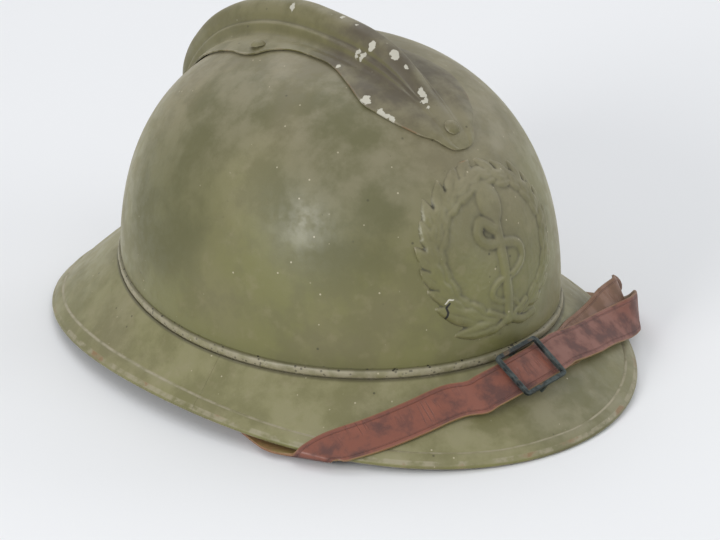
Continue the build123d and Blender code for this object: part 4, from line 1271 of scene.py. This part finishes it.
class HELMET_OT_crest(bpy.types.Operator):
    """Crest: stamped ridge with a channel and a flange on each side"""

    bl_idname = "helmet.crest"
    bl_label = "Crest"

    def execute(self, context):
        rows = []
        for row in spline_through([Vector(row) for row in CREST_ROWS], 5):
            rows.append(crest_row(sizes(), radians(row[0]), [max(0.0, part) for part in row[1:]]))
        crest = skin("crest_ridge", rows, close_columns=True, caps=True, sharp=45)
        finish_piece(crest, HELMET, "painted_steel", "crest_painted_steel", "crest")
        return {"FINISHED"}


def rivet_form(s):
    """Low domed head over a short shank."""
    dome = 1.4 * s.rivet_height
    cap = (s.rivet_radius**2 + dome**2) / (2 * dome)
    end = asin(s.rivet_radius / cap)
    profile = [(cap * sin(end * t / 8), dome - cap * (1 - cos(end * t / 8))) for t in range(1, 9)]
    profile.append((s.rivet_radius * 1.02, -0.15 * MM))
    profile.append((s.rivet_radius * 0.5, -0.15 * MM))
    profile.append((s.rivet_radius * 0.5, -2.9 * MM))
    rows = [[Vector((r * cos(bend), r * sin(bend), z)) for r, z in profile] for bend in turns(28)]
    head = skin("rivet_form", rows, close_rows=True, sharp=35)
    with edited(head.data) as work:
        bmesh.ops.holes_fill(work, edges=work.edges, sides=64)
    return head


class HELMET_OT_rivets(bpy.types.Operator):
    """Crest rivets: low domed heads"""

    bl_idname = "helmet.rivets"
    bl_label = "Crest rivets"

    def execute(self, context):
        s = sizes()
        places = []
        for x, y in (
            (0, s.rivet_front), (0, s.rivet_rear), (-s.rivet_side_x, s.rivet_side_y),
            (s.rivet_side_x, s.rivet_side_y),
        ):
            point = bowl_top_point(s, x, y)
            normal = bowl_normal(s, point)
            # the side rivets sit on the swell of the flanges
            swell = FLANGE_SWELL * s.crest_swell if x else 0.0
            seat = s.crest_gap + s.crest_sheet + s.rivet_seat + swell
            places.append((point + normal * seat, axes(Vector((1, 0, 0)), normal)))
        rivets = scatter("crest_rivet_heads", places, rivet_form(s))
        finish_piece(
            rivets, HELMET, "painted_steel", "crest_painted_steel",
            "crest_rivet_front", "crest_rivet_rear", "crest_rivet_left", "crest_rivet_right",
        )
        return {"FINISHED"}


def segment_gap(x, z, line):
    """Distance of every place of a grid from a line of points, and how far along it is."""
    best = numpy.full(x.shape, 1.0)
    along = numpy.zeros(x.shape)
    count = len(line) - 1
    for place in range(count):
        (ax, az), (bx, bz) = line[place], line[place + 1]
        dx, dz = bx - ax, bz - az
        part = numpy.clip(((x - ax) * dx + (z - az) * dz) / (dx * dx + dz * dz), 0.0, 1.0)
        gone = numpy.hypot(x - ax - part * dx, z - az - part * dz)
        closer = gone < best
        best = numpy.where(closer, gone, best)
        along = numpy.where(closer, (place + part) / count, along)
    return best, along


def cord_relief(x, z, line, half, rise, end):
    """Round-backed ridge along a line. Its half width goes from the first value to a share of it."""
    smooth = spline_through([Vector((px * MM, pz * MM)) for px, pz in line], 6)
    gone, along = segment_gap(x, z, [(p.x, p.y) for p in smooth])
    wide = half * MM * (1 + (end - 1) * along)
    return rise * MM * numpy.sqrt(numpy.clip(1 - (gone / wide) ** 2, 0.0, 1.0)) * (wide / (half * MM))


def leaf_relief(x, z, foot, way, long, half, rise, lobes):
    """Domed leaf with a midrib. Lobes make its edge wavy."""
    size = hypot(way[0], way[1])
    cx, cz = way[0] / size, way[1] / size
    along = ((x - foot[0]) * cx + (z - foot[1]) * cz) / (long * MM)
    across = (-(x - foot[0]) * cz + (z - foot[1]) * cx) / (half * MM)
    inside = numpy.clip(along, 0.0, 1.0)
    wide = numpy.sin(pi * inside**0.78) ** 0.9 * (1 + lobes * numpy.sin(inside * pi * 6))
    wide = numpy.where((along > 0) & (along < 1), numpy.maximum(wide, 0.0), 0.0) + 1e-6
    share_out = numpy.abs(across) / wide
    dome = numpy.sqrt(numpy.clip(1 - share_out**2.4, 0.0, 1.0)) * (0.55 + 0.45 * numpy.sin(pi * inside))
    vein = 0.22 * numpy.clip(1 - numpy.abs(across) * 3.5, 0.0, 1.0)
    return rise * MM * numpy.where(share_out < 1, numpy.clip(dome - vein, 0.0, 1.0), 0.0)


def wreath_leaves(x, z, ring_x, ring_z):
    """Leaves in threes up both sides: oak on the wearer's right, laurel on the left."""
    forms = []
    for side in (-1, 1):
        oak = side < 0
        long, half, lobes = (14.5, 3.3, 0.04) if oak else (12.5, 2.5, 0.0)
        for leaf in range(LEAF_GROUPS):
            bend = radians(22 + 138 * leaf / (LEAF_GROUPS - 1))
            for splay, size, rise in ((-21, 1.0, 1.45), (21, 1.0, 1.45), (0, 0.9, 1.75)):
                root = bend + (0.0 if splay else radians(6))
                foot = (side * ring_x * sin(root), -ring_z * cos(root))
                dx, dz = side * ring_x * cos(root), ring_z * sin(root)
                spin = radians(splay + 5 * sin(leaf * 2.4 + side))
                way = (dx * cos(spin) - dz * sin(spin), dx * sin(spin) + dz * cos(spin))
                forms.append(leaf_relief(x, z, foot, way, long * size, half * size, rise, lobes))
    return forms


def averaged(grid, own, times):
    """Grid whose inner places are evened out with their four neighbours."""
    for _ in range(times):
        beside = grid[2:, 1:-1] + grid[:-2, 1:-1] + grid[1:-1, 2:] + grid[1:-1, :-2]
        grid[1:-1, 1:-1] = (own * grid[1:-1, 1:-1] + beside) / (own + 4)
    return grid


def badge_relief(s):
    """Heights of the badge over the bowl on a grid of its front view, with marks for its paint."""
    step = 0.42 * MM
    wide, high = s.badge_half_width, s.badge_half_height
    xs = numpy.arange(-wide - step, wide + 2 * step, step)
    zs = numpy.arange(-high - step, high + 2 * step, step)
    x, z = numpy.meshgrid(xs, zs, indexing="ij")
    ring_x, ring_z = wide * s.badge_ring, high * s.badge_ring
    # thin ground inside the wreath
    out = numpy.hypot(x / (ring_x * 1.02), z / (ring_z * 1.02))
    forms = [0.45 * MM * numpy.clip((1 - out) * 14, 0.0, 1.0)]
    forms += wreath_leaves(x, z, ring_x, ring_z)
    for foot_x, foot_z, way, long, half in BROAD_LEAVES:
        forms.append(leaf_relief(x, z, (foot_x * MM, foot_z * MM), way, long, half, 2.0, 0.0))
    # stems up both sides, a round staff with its boss, and the serpent
    bends = [radians(bend) for bend in range(12, 170, 6)]
    stem = [(ring_x / MM * sin(bend), -ring_z / MM * cos(bend)) for bend in bends]
    for line in (stem, [(-a, b) for a, b in stem]):
        forms.append(cord_relief(x, z, line, 1.5, 1.3, 0.7))
    forms.append(cord_relief(x, z, STAFF, 2.6, 1.35, 1.15))
    boss = numpy.hypot(x / (6.6 * MM), (z - 20 * MM) / (9.4 * MM))
    forms.append(1.75 * MM * numpy.sqrt(numpy.clip(1 - boss**2.6, 0.0, 1.0)))
    forms.append(cord_relief(x, z, SERPENT, 2.7, 1.95, 0.45))
    for side in (-1, 1):
        for line, half, rise in TIED_FOOT:
            forms.append(cord_relief(x, z, [(side * a, b) for a, b in line], half, rise, 0.8))
    total = averaged(sum(form**9 for form in forms) ** (1 / 9), 2, 3)
    # depth of each place in a hollow of the relief, which the paint darkens as painted shade and dirt
    hollow_shade_and_dirt = numpy.clip((averaged(total.copy(), 0, 9) - total) / (0.28 * MM), 0.0, 1.0)
    crack, nick = (
        segment_gap(x, z, [(a * MM, b * MM) for a, b in line])[0] for line in (CRACK_LINE, NICK_LINE)
    )
    marks = {
        "gap": numpy.clip(1 - crack / (0.6 * MM), 0.0, None),
        "nick": numpy.clip(1 - nick / (0.45 * MM), 0.0, None),
        "hollow_shade_and_dirt": hollow_shade_and_dirt,
    }
    return xs, zs, numpy.minimum(total, s.relief), marks


class HELMET_OT_badge(bpy.types.Operator):
    """Badge: one pressed plate with a wreath, a serpent round a staff and a tied foot"""

    bl_idname = "helmet.badge"
    bl_label = "Badge"

    def execute(self, context):
        s = sizes()
        xs, zs, heights, marks = badge_relief(s)
        upper, lower, numbers = [], [], {}
        for i, x in enumerate(map(float, xs)):
            for j, z in enumerate(map(float, zs)):
                place = Vector((x, 0.0, s.badge_z + z))
                dent = wobble(place, 0.005, 0.12 * MM, 6.0) + wobble(place, 0.0016, 0.08 * MM, 8.0)
                rise = float(heights[i, j]) + dent if heights[i, j] >= PLATE_START else -0.25 * MM
                numbers[i, j] = len(upper)
                upper.append(front_point(s, place.x, place.z, rise))
                lower.append(front_point(s, x, s.badge_z + z, -0.5 * MM))
        top = len(upper)
        faces, sides = [], {}
        for i in range(len(xs) - 1):
            for j in range(len(zs) - 1):
                if heights[i : i + 2, j : j + 2].max() < PLATE_START:
                    continue
                ring = [numbers[i, j], numbers[i + 1, j], numbers[i + 1, j + 1], numbers[i, j + 1]]
                faces.append(ring)
                faces.append([top + corner for corner in reversed(ring)])
                for first, second in zip(ring, ring[1:] + ring[:1]):
                    if (second, first) in sides:
                        del sides[second, first]
                    else:
                        sides[first, second] = True
        faces += [[second, first, top + first, top + second] for first, second in sides]
        mesh = bpy.data.meshes.new("badge_plate")
        mesh.from_pydata([tuple(point) for point in upper + lower], [], faces)
        badge = new_object("badge_plate", mesh)
        for name, values in marks.items():
            mark_points(badge, name, [float(value) for value in values.flat] + [0.0] * top)
        finish_mesh(mesh, 60)
        finish_piece(badge, HELMET, "painted_steel", "khaki_painted_steel", "badge")
        return {"FINISHED"}


# Strap


def strap_frame(s):
    """Middle of the strap, its directions and the axis that it is bent about."""
    square = Vector((0, -sin(s.strap_slope), cos(s.strap_slope)))
    turned = Matrix.Rotation(s.strap_heading, 3, square)
    up = turned @ Vector((0, cos(s.strap_slope), sin(s.strap_slope)))
    along = turned @ Vector((1, 0, 0))
    way = turned @ Vector((0, cos(s.arc_slope), sin(s.arc_slope)))
    out = turned @ Vector((0, -sin(s.arc_slope), cos(s.arc_slope)))
    centre = Vector((s.strap_x, -s.bowl_half_length - s.strap_reach, s.strap_z))
    return centre, along, up, square, way, centre - out * s.arc_radius


def arc_edges(s, angle, drop=0.0, shift=0.0):
    """Edge points of the strap's middle at a turn about its axis."""
    centre, _, up, square, way, axis_point = strap_frame(s)
    middle = centre - square * drop + up * shift
    spin = Matrix.Rotation(radians(angle), 3, way)
    return [
        axis_point + spin @ (middle + up * (end * s.strap_width / 2) - axis_point) for end in (1, -1)
    ]


def brim_edges(s, row):
    """Edge points of the strap from places on the brim."""
    return [
        brim_point(s, row[0], row[1], row[2] * s.strap_thickness),
        brim_point(s, row[3], row[4], row[5] * s.strap_thickness),
    ]


def band_profile(s):
    """Section of the strap and, for its material, how far each point lies across it.
    Past the edge the marks count on, so that face, edge and back can be told apart."""
    half, thick = s.strap_width / 2, s.strap_thickness
    face = []
    for step in range(13):
        v = -1 + 2 * step / 12
        face.append((v * (half - 0.15 * MM), thick * 0.46 * (1 - 0.35 * abs(v) ** 8)))
    back = face[::-1]
    profile = face + [(half, 0.0)] + [(a, -h) for a, h in back] + [(-half, 0.0)]
    marks = [a for a, _ in face] + [half + thick / 2]
    marks += [2 * half + thick - a for a, _ in back]
    return profile, marks + [3 * half + 1.5 * thick, 3 * half + 2 * thick]


def band(name, s, pairs, steps, look, body, node, wave=0.0):
    """Strap with rounded edges through pairs of edge points, worn and slightly uneven."""
    middles = spline_through([middle_of(pair) for pair in pairs], steps)
    ways = spline_through([(upper - lower).normalized() for upper, lower in pairs], steps)
    profile, marks = band_profile(s)
    rows, runs, run = [], [], 0.0
    for place, middle in enumerate(middles):
        before, after = neighbours(middles, place)
        across = ways[place].normalized()
        along = after - before
        along = (along - across * along.dot(across)).normalized()
        up = along.cross(across)
        if place:
            run += (middle - before).length
        runs.append(run)
        row = []
        for a, h in profile:
            spot = middle + across * a
            wide = a * (1 + wobble(spot, 0.012, 0.02, 4.0))
            row.append(middle + across * wide + up * (h + wobble(spot, 0.014, wave, 1.0)))
        rows.append(row)
    # no part of the strap goes through the table
    for point in [point for row in rows for point in row]:
        point.z = max(point.z, 0.15 * MM + 0.1 * point.z)
    made = skin(name, rows, close_columns=True, caps=True, sharp=60, uvs=(runs, marks))
    finish_piece(made, body, "strap_leather", look, node)


def middle_of(pair):
    """Middle of a pair of edge points."""
    return (pair[0] + pair[1]) / 2


def front_pairs(s):
    """Edge pairs of the outer layer, from the wearer's right to the left."""
    pairs = [brim_edges(s, row) for row in FRONT_RIGHT]
    pairs += [arc_edges(s, -18 + 34 * step / 12) for step in range(13)]
    return pairs + [brim_edges(s, row) for row in FRONT_LEFT]


def return_pairs(s):
    """Edge pairs of the inner layer, from the buckle to the wearer's left."""
    drop = s.strap_thickness + s.strap_gap
    start = degrees((s.buckle_bar / 2 + s.gap) / s.arc_radius)
    pairs = [arc_edges(s, start, drop)]
    pairs += [arc_edges(s, angle, drop, s.strap_width * part) for angle, part in RETURN_ARC]
    return pairs + [brim_edges(s, row) for row in RETURN_LEFT]


def span_pairs(s, side, rows, tail_x, end):
    """Edge pairs of a span, from the end of its loop to the strap."""
    start = Vector((side * tail_x, 0, s.hinge_z - s.bail_drop - s.loop_tail - s.gap))
    pairs = []
    for row in rows:
        edges = [(side * out, back, rise) for out, back, rise in (row[:3], row[3:])]
        pairs.append([start + Vector(edge) * s.strap_width for edge in edges])
    return pairs + [[edge + Vector((0, s.gap, 0)) for edge in end]]


def loop_pairs(s, side, radius):
    """Edge pairs of a loop round its bail, from one tail to the other."""
    bar = s.hinge_z - s.bail_drop
    tail = [bar - s.loop_tail, bar - s.loop_tail / 2]
    path = [(radius, z) for z in tail]
    path += [(radius * cos(pi * t / 8), bar + radius * sin(pi * t / 8)) for t in range(9)]
    path += [(-radius, z) for z in tail[::-1]]
    aside = Vector((0, s.strap_width / 2, 0))
    centres = [Vector((side * s.hinge_x + x, 0, z)) for x, z in path]
    return [[centre - aside, centre + aside] for centre in centres]


class HELMET_OT_strap(bpy.types.Operator):
    """Chin strap: outer and inner layers over the brim, spans under it and loops at the bails"""

    bl_idname = "helmet.strap"
    bl_label = "Chin strap"

    def execute(self, context):
        s = sizes()
        face, flesh = "red_brown_strap_leather", "strap_flesh_side"
        front, back = front_pairs(s), return_pairs(s)
        band("strap_outer", s, front, 6, face, HELMET, "chin_strap_front", 0.12 * MM)
        # the inner layer is given two bodies and its points at the first row on the brim's left and at
        # its last one
        bends = (HELMET, "buckle", middle_of(back[-1]), middle_of(back[1 + len(RETURN_ARC)]))
        band("strap_inner", s, back, 8, flesh, bends, "chin_strap_return", 0.1 * MM)
        middle = s.bail_wire + s.gap + s.strap_thickness / 2
        outer, inner = s.hinge_x + middle, s.hinge_x - middle
        for name, side, rows, tail_x, end, look in (
            ("right", -1, SPAN, outer, front[0], face),
            ("left", 1, SPAN, outer, front[-1], face),
            ("left_inner", 1, INNER_SPAN, inner, back[-1], flesh),
        ):
            pairs = span_pairs(s, side, rows, tail_x, end)
            bail = "bail_right" if side < 0 else "bail_left"
            bends = (HELMET, bail, middle_of(pairs[-1]), middle_of(pairs[0]))
            band("span_" + name, s, pairs, 6, look, bends, "strap_span_" + name)
        for side, name in ((-1, "right"), (1, "left")):
            pairs = loop_pairs(s, side, middle)
            band("loop_" + name, s, pairs, 3, face, "bail_" + name, "strap_loop_" + name)
        return {"FINISHED"}


def buckle_bar(s, name, path, closed=False, wide=1.0, high=1.0):
    """Bar of the buckle along a path: a square section with well rounded corners."""
    _, _, up, square, _, _ = strap_frame(s)
    rows = []
    for place, point in enumerate(path):
        before, after = neighbours(path, place, closed)
        way = (after - before).normalized()
        upward = square if abs(way.dot(square)) < 0.9 else up
        side = way.cross(upward).normalized()
        upward = side.cross(way)
        row = []
        for bend in turns(24):
            c, d = cos(bend), sin(bend)
            reach = s.buckle_bar / 2 * (1 / (abs(c) ** 6 + abs(d) ** 6)) ** (1 / 6)
            worn = 1 + wobble(point + side * c * MM, 0.003, 0.05)
            row.append(point + (side * (c * wide) + upward * (d * high)) * reach * worn)
        rows.append(row)
    return skin(name, rows, close_rows=closed, close_columns=True, caps=not closed, sharp=50)


class HELMET_OT_buckle(bpy.types.Operator):
    """Buckle: flat frame over the strap with its middle bar under it"""

    bl_idname = "helmet.buckle"
    bl_label = "Buckle"

    def execute(self, context):
        s = sizes()
        centre, along, up, square, _, _ = strap_frame(s)
        half_bar = s.buckle_bar / 2
        level = s.strap_thickness / 2 + s.strap_gap - s.arc_dip + half_bar
        bottom = -s.strap_thickness / 2 - s.strap_gap - half_bar
        rail = s.strap_width / 2 + s.buckle_gap + half_bar
        corner = s.buckle_corner - half_bar / 2
        out_x, out_y = s.buckle_half_length - half_bar - corner, rail - corner

        def spot(x, y, lift):
            return centre + along * x + up * y + square * lift

        outline = []
        for side_x, side_y, first in ((1, 1, 0), (-1, 1, 90), (-1, -1, 180), (1, -1, 270)):
            for bend in [radians(first + 90 * step / 5) for step in range(6)]:
                x = side_x * out_x + corner * cos(bend)
                outline.append(spot(x, side_y * out_y + corner * sin(bend), level))
        frame_path = []
        for place, point in enumerate(outline):
            _, after = neighbours(outline, place, closed=True)
            steps = max(1, int((after - point).length / (1.5 * MM)))
            frame_path += [point.lerp(after, step / steps) for step in range(steps)]
        parts = [buckle_bar(s, "frame", frame_path, closed=True)]
        foot = bottom - half_bar
        for side in (-1, 1):
            post = [spot(0, side * rail, foot + (level - foot) * t / 6) for t in range(7)]
            parts.append(buckle_bar(s, "post", post, high=0.98))
        tongue = [spot(0, -rail + 2 * rail * t / 14, bottom) for t in range(15)]
        parts.append(buckle_bar(s, "tongue_bar", tongue, wide=0.98, high=0.96))
        buckle = join("buckle_frame", parts)
        finish_piece(buckle, "buckle", "blackened_iron", "worn_black_iron", "buckle")
        return {"FINISHED"}


def leather_band(s):
    """Leather of the liner: a dome that is cut into tongues and gathered in fine folds."""
    half = s.liner_thickness / 2
    rows = []
    for angle in [360 * step / LINER_SECTIONS for step in range(LINER_SECTIONS)]:
        direction, seam = section(s, angle)
        curve = shell_curve(
            s, direction, s.liner_clear + half, s.liner_drop + half, seam + s.liner_low, 0.28, 46
        )
        fold = abs(sin(radians(angle * 10))) * 0.25 * MM
        rows.append([placed(direction, r - fold, z) for r, z in curve])
    sheet = skin("liner_sheet", rows, close_rows=True, sharp=80)
    low = s.bead_rear + 36 * MM
    ways = [Vector((cos(pi / 2 + bend), sin(pi / 2 + bend), 0)) for bend in turns(TONGUES)]

    def in_slit(face):
        middle = face.calc_center_median()
        return middle.z > low and any(
            middle.dot(way) > 0 and abs(middle.x * way.y - middle.y * way.x) < SLIT_HALF
            for way in ways
        )

    with edited(sheet.data) as work:
        bmesh.ops.delete(work, geom=[face for face in work.faces if in_slit(face)], context="FACES")
    thick = sheet.modifiers.new("thick", "SOLIDIFY")
    thick.thickness = s.liner_thickness
    thick.offset = 0.0
    return evaluated_copy("liner_tongues", sheet)


def cloth_band(s):
    """Cloth band between leather and spacers, slightly uneven."""
    heights = [s.felt_low + (s.felt_high - s.felt_low) * part / 4 for part in range(5)]
    rows = []
    for bend in turns(160):
        row = []
        for cut, rises in ((s.felt_clear, heights), (s.felt_clear + s.felt_thickness, heights[::-1])):
            x = (s.bowl_half_width - cut) * cos(bend)
            y = (s.bowl_half_length - cut) * sin(bend)
            for rise in rises:
                p = Vector((x, y, bead_height(s, y) + rise))
                row.append(p + Vector((x, y, 0)).normalized() * wobble(p, 0.02, 0.12 * MM))
        rows.append(row)
    return skin("cloth_band", rows, close_rows=True, close_columns=True, sharp=40)


def laced_cord(s, level):
    """Lace: a ring that gathers the tongues, a knot at the front and two ends."""
    ring, thick = s.lace_ring, s.lace_radius
    path = [Vector((ring * cos(bend), ring * sin(bend), level)) for bend in turns(120)]
    parts = [cord("ring", path, thick, Vector((0, 0, 1)), closed=True)]
    knot = []
    for bend in turns(60):
        x = 1.9 * MM * sin(bend) + 0.6 * MM * sin(3 * bend)
        y = -ring + 1.4 * MM * cos(2 * bend)
        knot.append(Vector((x, y, level - 1.6 * MM + 1.6 * MM * cos(bend) * sin(2 * bend))))
    parts.append(cord("knot", knot, thick, Vector((0, 1, 0.2)), closed=True))
    for side in (-1, 1):
        line = [Vector((side * out * MM, -ring, level - drop * MM)) for out, drop in LACE_END]
        parts.append(cord("lace_end", spline_through(line, 8), thick, Vector((0, 1, 0))))
    return join("laced_cord", parts)


class HELMET_OT_liner(bpy.types.Operator):
    """Liner: leather band with laced tongues, cloth band and lace"""

    bl_idname = "helmet.liner"
    bl_label = "Liner"

    def execute(self, context):
        s = sizes()
        finish_piece(leather_band(s), HELMET, "liner_leather", "lining_leather", "liner_leather")
        felt = cloth_band(s)
        finish_piece(felt, HELMET, "felt", "wool_cloth", "liner_felt")
        _, high_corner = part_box("liner_lace")
        lace = laced_cord(s, high_corner.z - s.lace_radius)
        finish_piece(lace, HELMET, "lace", "waxed_lace", "liner_lace")
        return {"FINISHED"}


class HELMET_OT_fittings(bpy.types.Operator):
    """Fittings that keep the construction's own solids: clips, bails, tabs and spacers"""

    bl_idname = "helmet.fittings"
    bl_label = "Fittings"

    def execute(self, context):
        for look, nodes in FITTINGS.items():
            for node in nodes:
                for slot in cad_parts[node].material_slots:
                    slot.material = material(look)
        return {"FINISHED"}


def pale_floor():
    """Wide floor under the table line, almost white."""
    floor = skin("floor", [[Vector((x, y, -0.2 * MM)) for x in (-6, 6)] for y in (-6, 6)])
    coat = Coat("pale_floor", (0.82, 0.822, 0.83, 1.0))
    coat.lay(coat.grain(400, 2), (0.845, 0.847, 0.855, 1.0))
    floor.data.materials.append(coat.finish(0.9, (), {"Specular IOR Level": 0.1}))


def photo_camera(scene):
    """Camera of the photograph, from the fit of the form to its outlines."""
    width, height = PHOTO_SIZE
    back = Vector(CAMERA_BACK).normalized()
    right = Vector(CAMERA_RIGHT).normalized()
    facing = Matrix((right, right.cross(-back).normalized(), back)).transposed()
    camera = bpy.data.objects.new("camera", bpy.data.cameras.new("camera"))
    scene.collection.objects.link(camera)
    target = Vector((0, 0, CAMERA_TARGET_HEIGHT))
    camera.matrix_world = Matrix.Translation(target + back * CAMERA_DISTANCE) @ facing.to_4x4()
    camera.data.sensor_width = SENSOR
    camera.data.lens = FOCAL_PIXELS / width * SENSOR
    camera.data.shift_x = (width / 2 - PHOTO_CENTRE[0]) / width
    camera.data.shift_y = -(height / 2 - PHOTO_CENTRE[1]) / width
    camera.data.clip_end = 50
    scene.camera = camera
    scene.render.resolution_x = width
    scene.render.resolution_y = height
    scene.render.resolution_percentage = 100


def lamp(scene, name, place, aim, power, size):
    """Round soft light that looks at a place."""
    light = bpy.data.lights.new(name, "AREA")
    light.energy = power
    light.shape = "DISK"
    light.size = size
    made = bpy.data.objects.new(name, light)
    made.location = place
    made.rotation_euler = (Vector(aim) - Vector(place)).to_track_quat("-Z", "Y").to_euler()
    scene.collection.objects.link(made)


def studio_world():
    """Soft light from all sides, and a white surround for the camera."""
    world = bpy.data.worlds.new("studio")
    world.use_nodes = True
    tree = world.node_tree
    tree.nodes.clear()
    rays = put(tree, "ShaderNodeLightPath").outputs
    ends = {0: rays["Is Camera Ray"], 1: rays["Is Transmission Ray"]}
    seen = put(tree, "ShaderNodeMath", ends, operation="MAXIMUM").outputs[0]
    soft, white = (
        put(tree, "ShaderNodeBackground", {"Color": tint, "Strength": strength}).outputs[0]
        for tint, strength in (((0.93, 0.96, 1.0, 1.0), 0.55), ((0.86, 0.88, 0.90, 1.0), 1.0))
    )
    both = put(tree, "ShaderNodeMixShader", {0: seen, 1: soft, 2: white})
    put(tree, "ShaderNodeOutputWorld", {"Surface": both.outputs[0]})
    return world


class HELMET_OT_stage(bpy.types.Operator):
    """Stage: pale floor, soft lights and the camera of the photograph"""

    bl_idname = "helmet.stage"
    bl_label = "Stage"

    def execute(self, context):
        scene = context.scene
        pale_floor()
        photo_camera(scene)
        scene.view_settings.view_transform = "Standard"
        scene.view_settings.look = "None"
        scene.view_settings.exposure = 0.0
        for light in LIGHTS:
            lamp(scene, *light)
        scene.world = studio_world()
        return {"FINISHED"}


class HELMET_PT_panel(bpy.types.Panel):
    """Sidebar panel of the helmet"""

    bl_idname = "HELMET_PT_panel"
    bl_label = "Helmet"
    bl_space_type = "VIEW_3D"
    bl_region_type = "UI"
    bl_category = "Helmet"

    def draw(self, context):
        for operator in OPERATORS:
            self.layout.operator(operator.bl_idname)
        for name in HelmetSizes.__annotations__:
            self.layout.prop(context.scene.helmet_sizes, name)
        for name in HelmetLooks.__annotations__:
            self.layout.prop(context.scene.helmet_looks, name)


OPERATORS = (
    HELMET_OT_stage,
    HELMET_OT_bowl,
    HELMET_OT_brim,
    HELMET_OT_crest,
    HELMET_OT_rivets,
    HELMET_OT_badge,
    HELMET_OT_strap,
    HELMET_OT_buckle,
    HELMET_OT_liner,
    HELMET_OT_fittings,
)
CLASSES = (HelmetSizes, HelmetLooks) + OPERATORS + (HELMET_PT_panel,)


def register():
    """Registers the classes and the scene's properties."""
    for made in CLASSES:
        bpy.utils.register_class(made)
    bpy.types.Scene.helmet_sizes = bpy.props.PointerProperty(type=HelmetSizes)
    bpy.types.Scene.helmet_looks = bpy.props.PointerProperty(type=HelmetLooks)


def unregister():
    """Removes what register added."""
    del bpy.types.Scene.helmet_looks
    del bpy.types.Scene.helmet_sizes
    for made in reversed(CLASSES):
        bpy.utils.unregister_class(made)


def main():
    """Builds the helmet's looks in order."""
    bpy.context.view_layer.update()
    register()
    for name in (
        "stage", "bowl", "brim", "crest", "rivets", "badge", "strap", "buckle", "liner", "fittings",
    ):
        result = getattr(bpy.ops.helmet, name)()
        if result != {"FINISHED"}:
            raise RuntimeError("the step " + name + " did not finish")


if __name__ == "__main__":
    main()
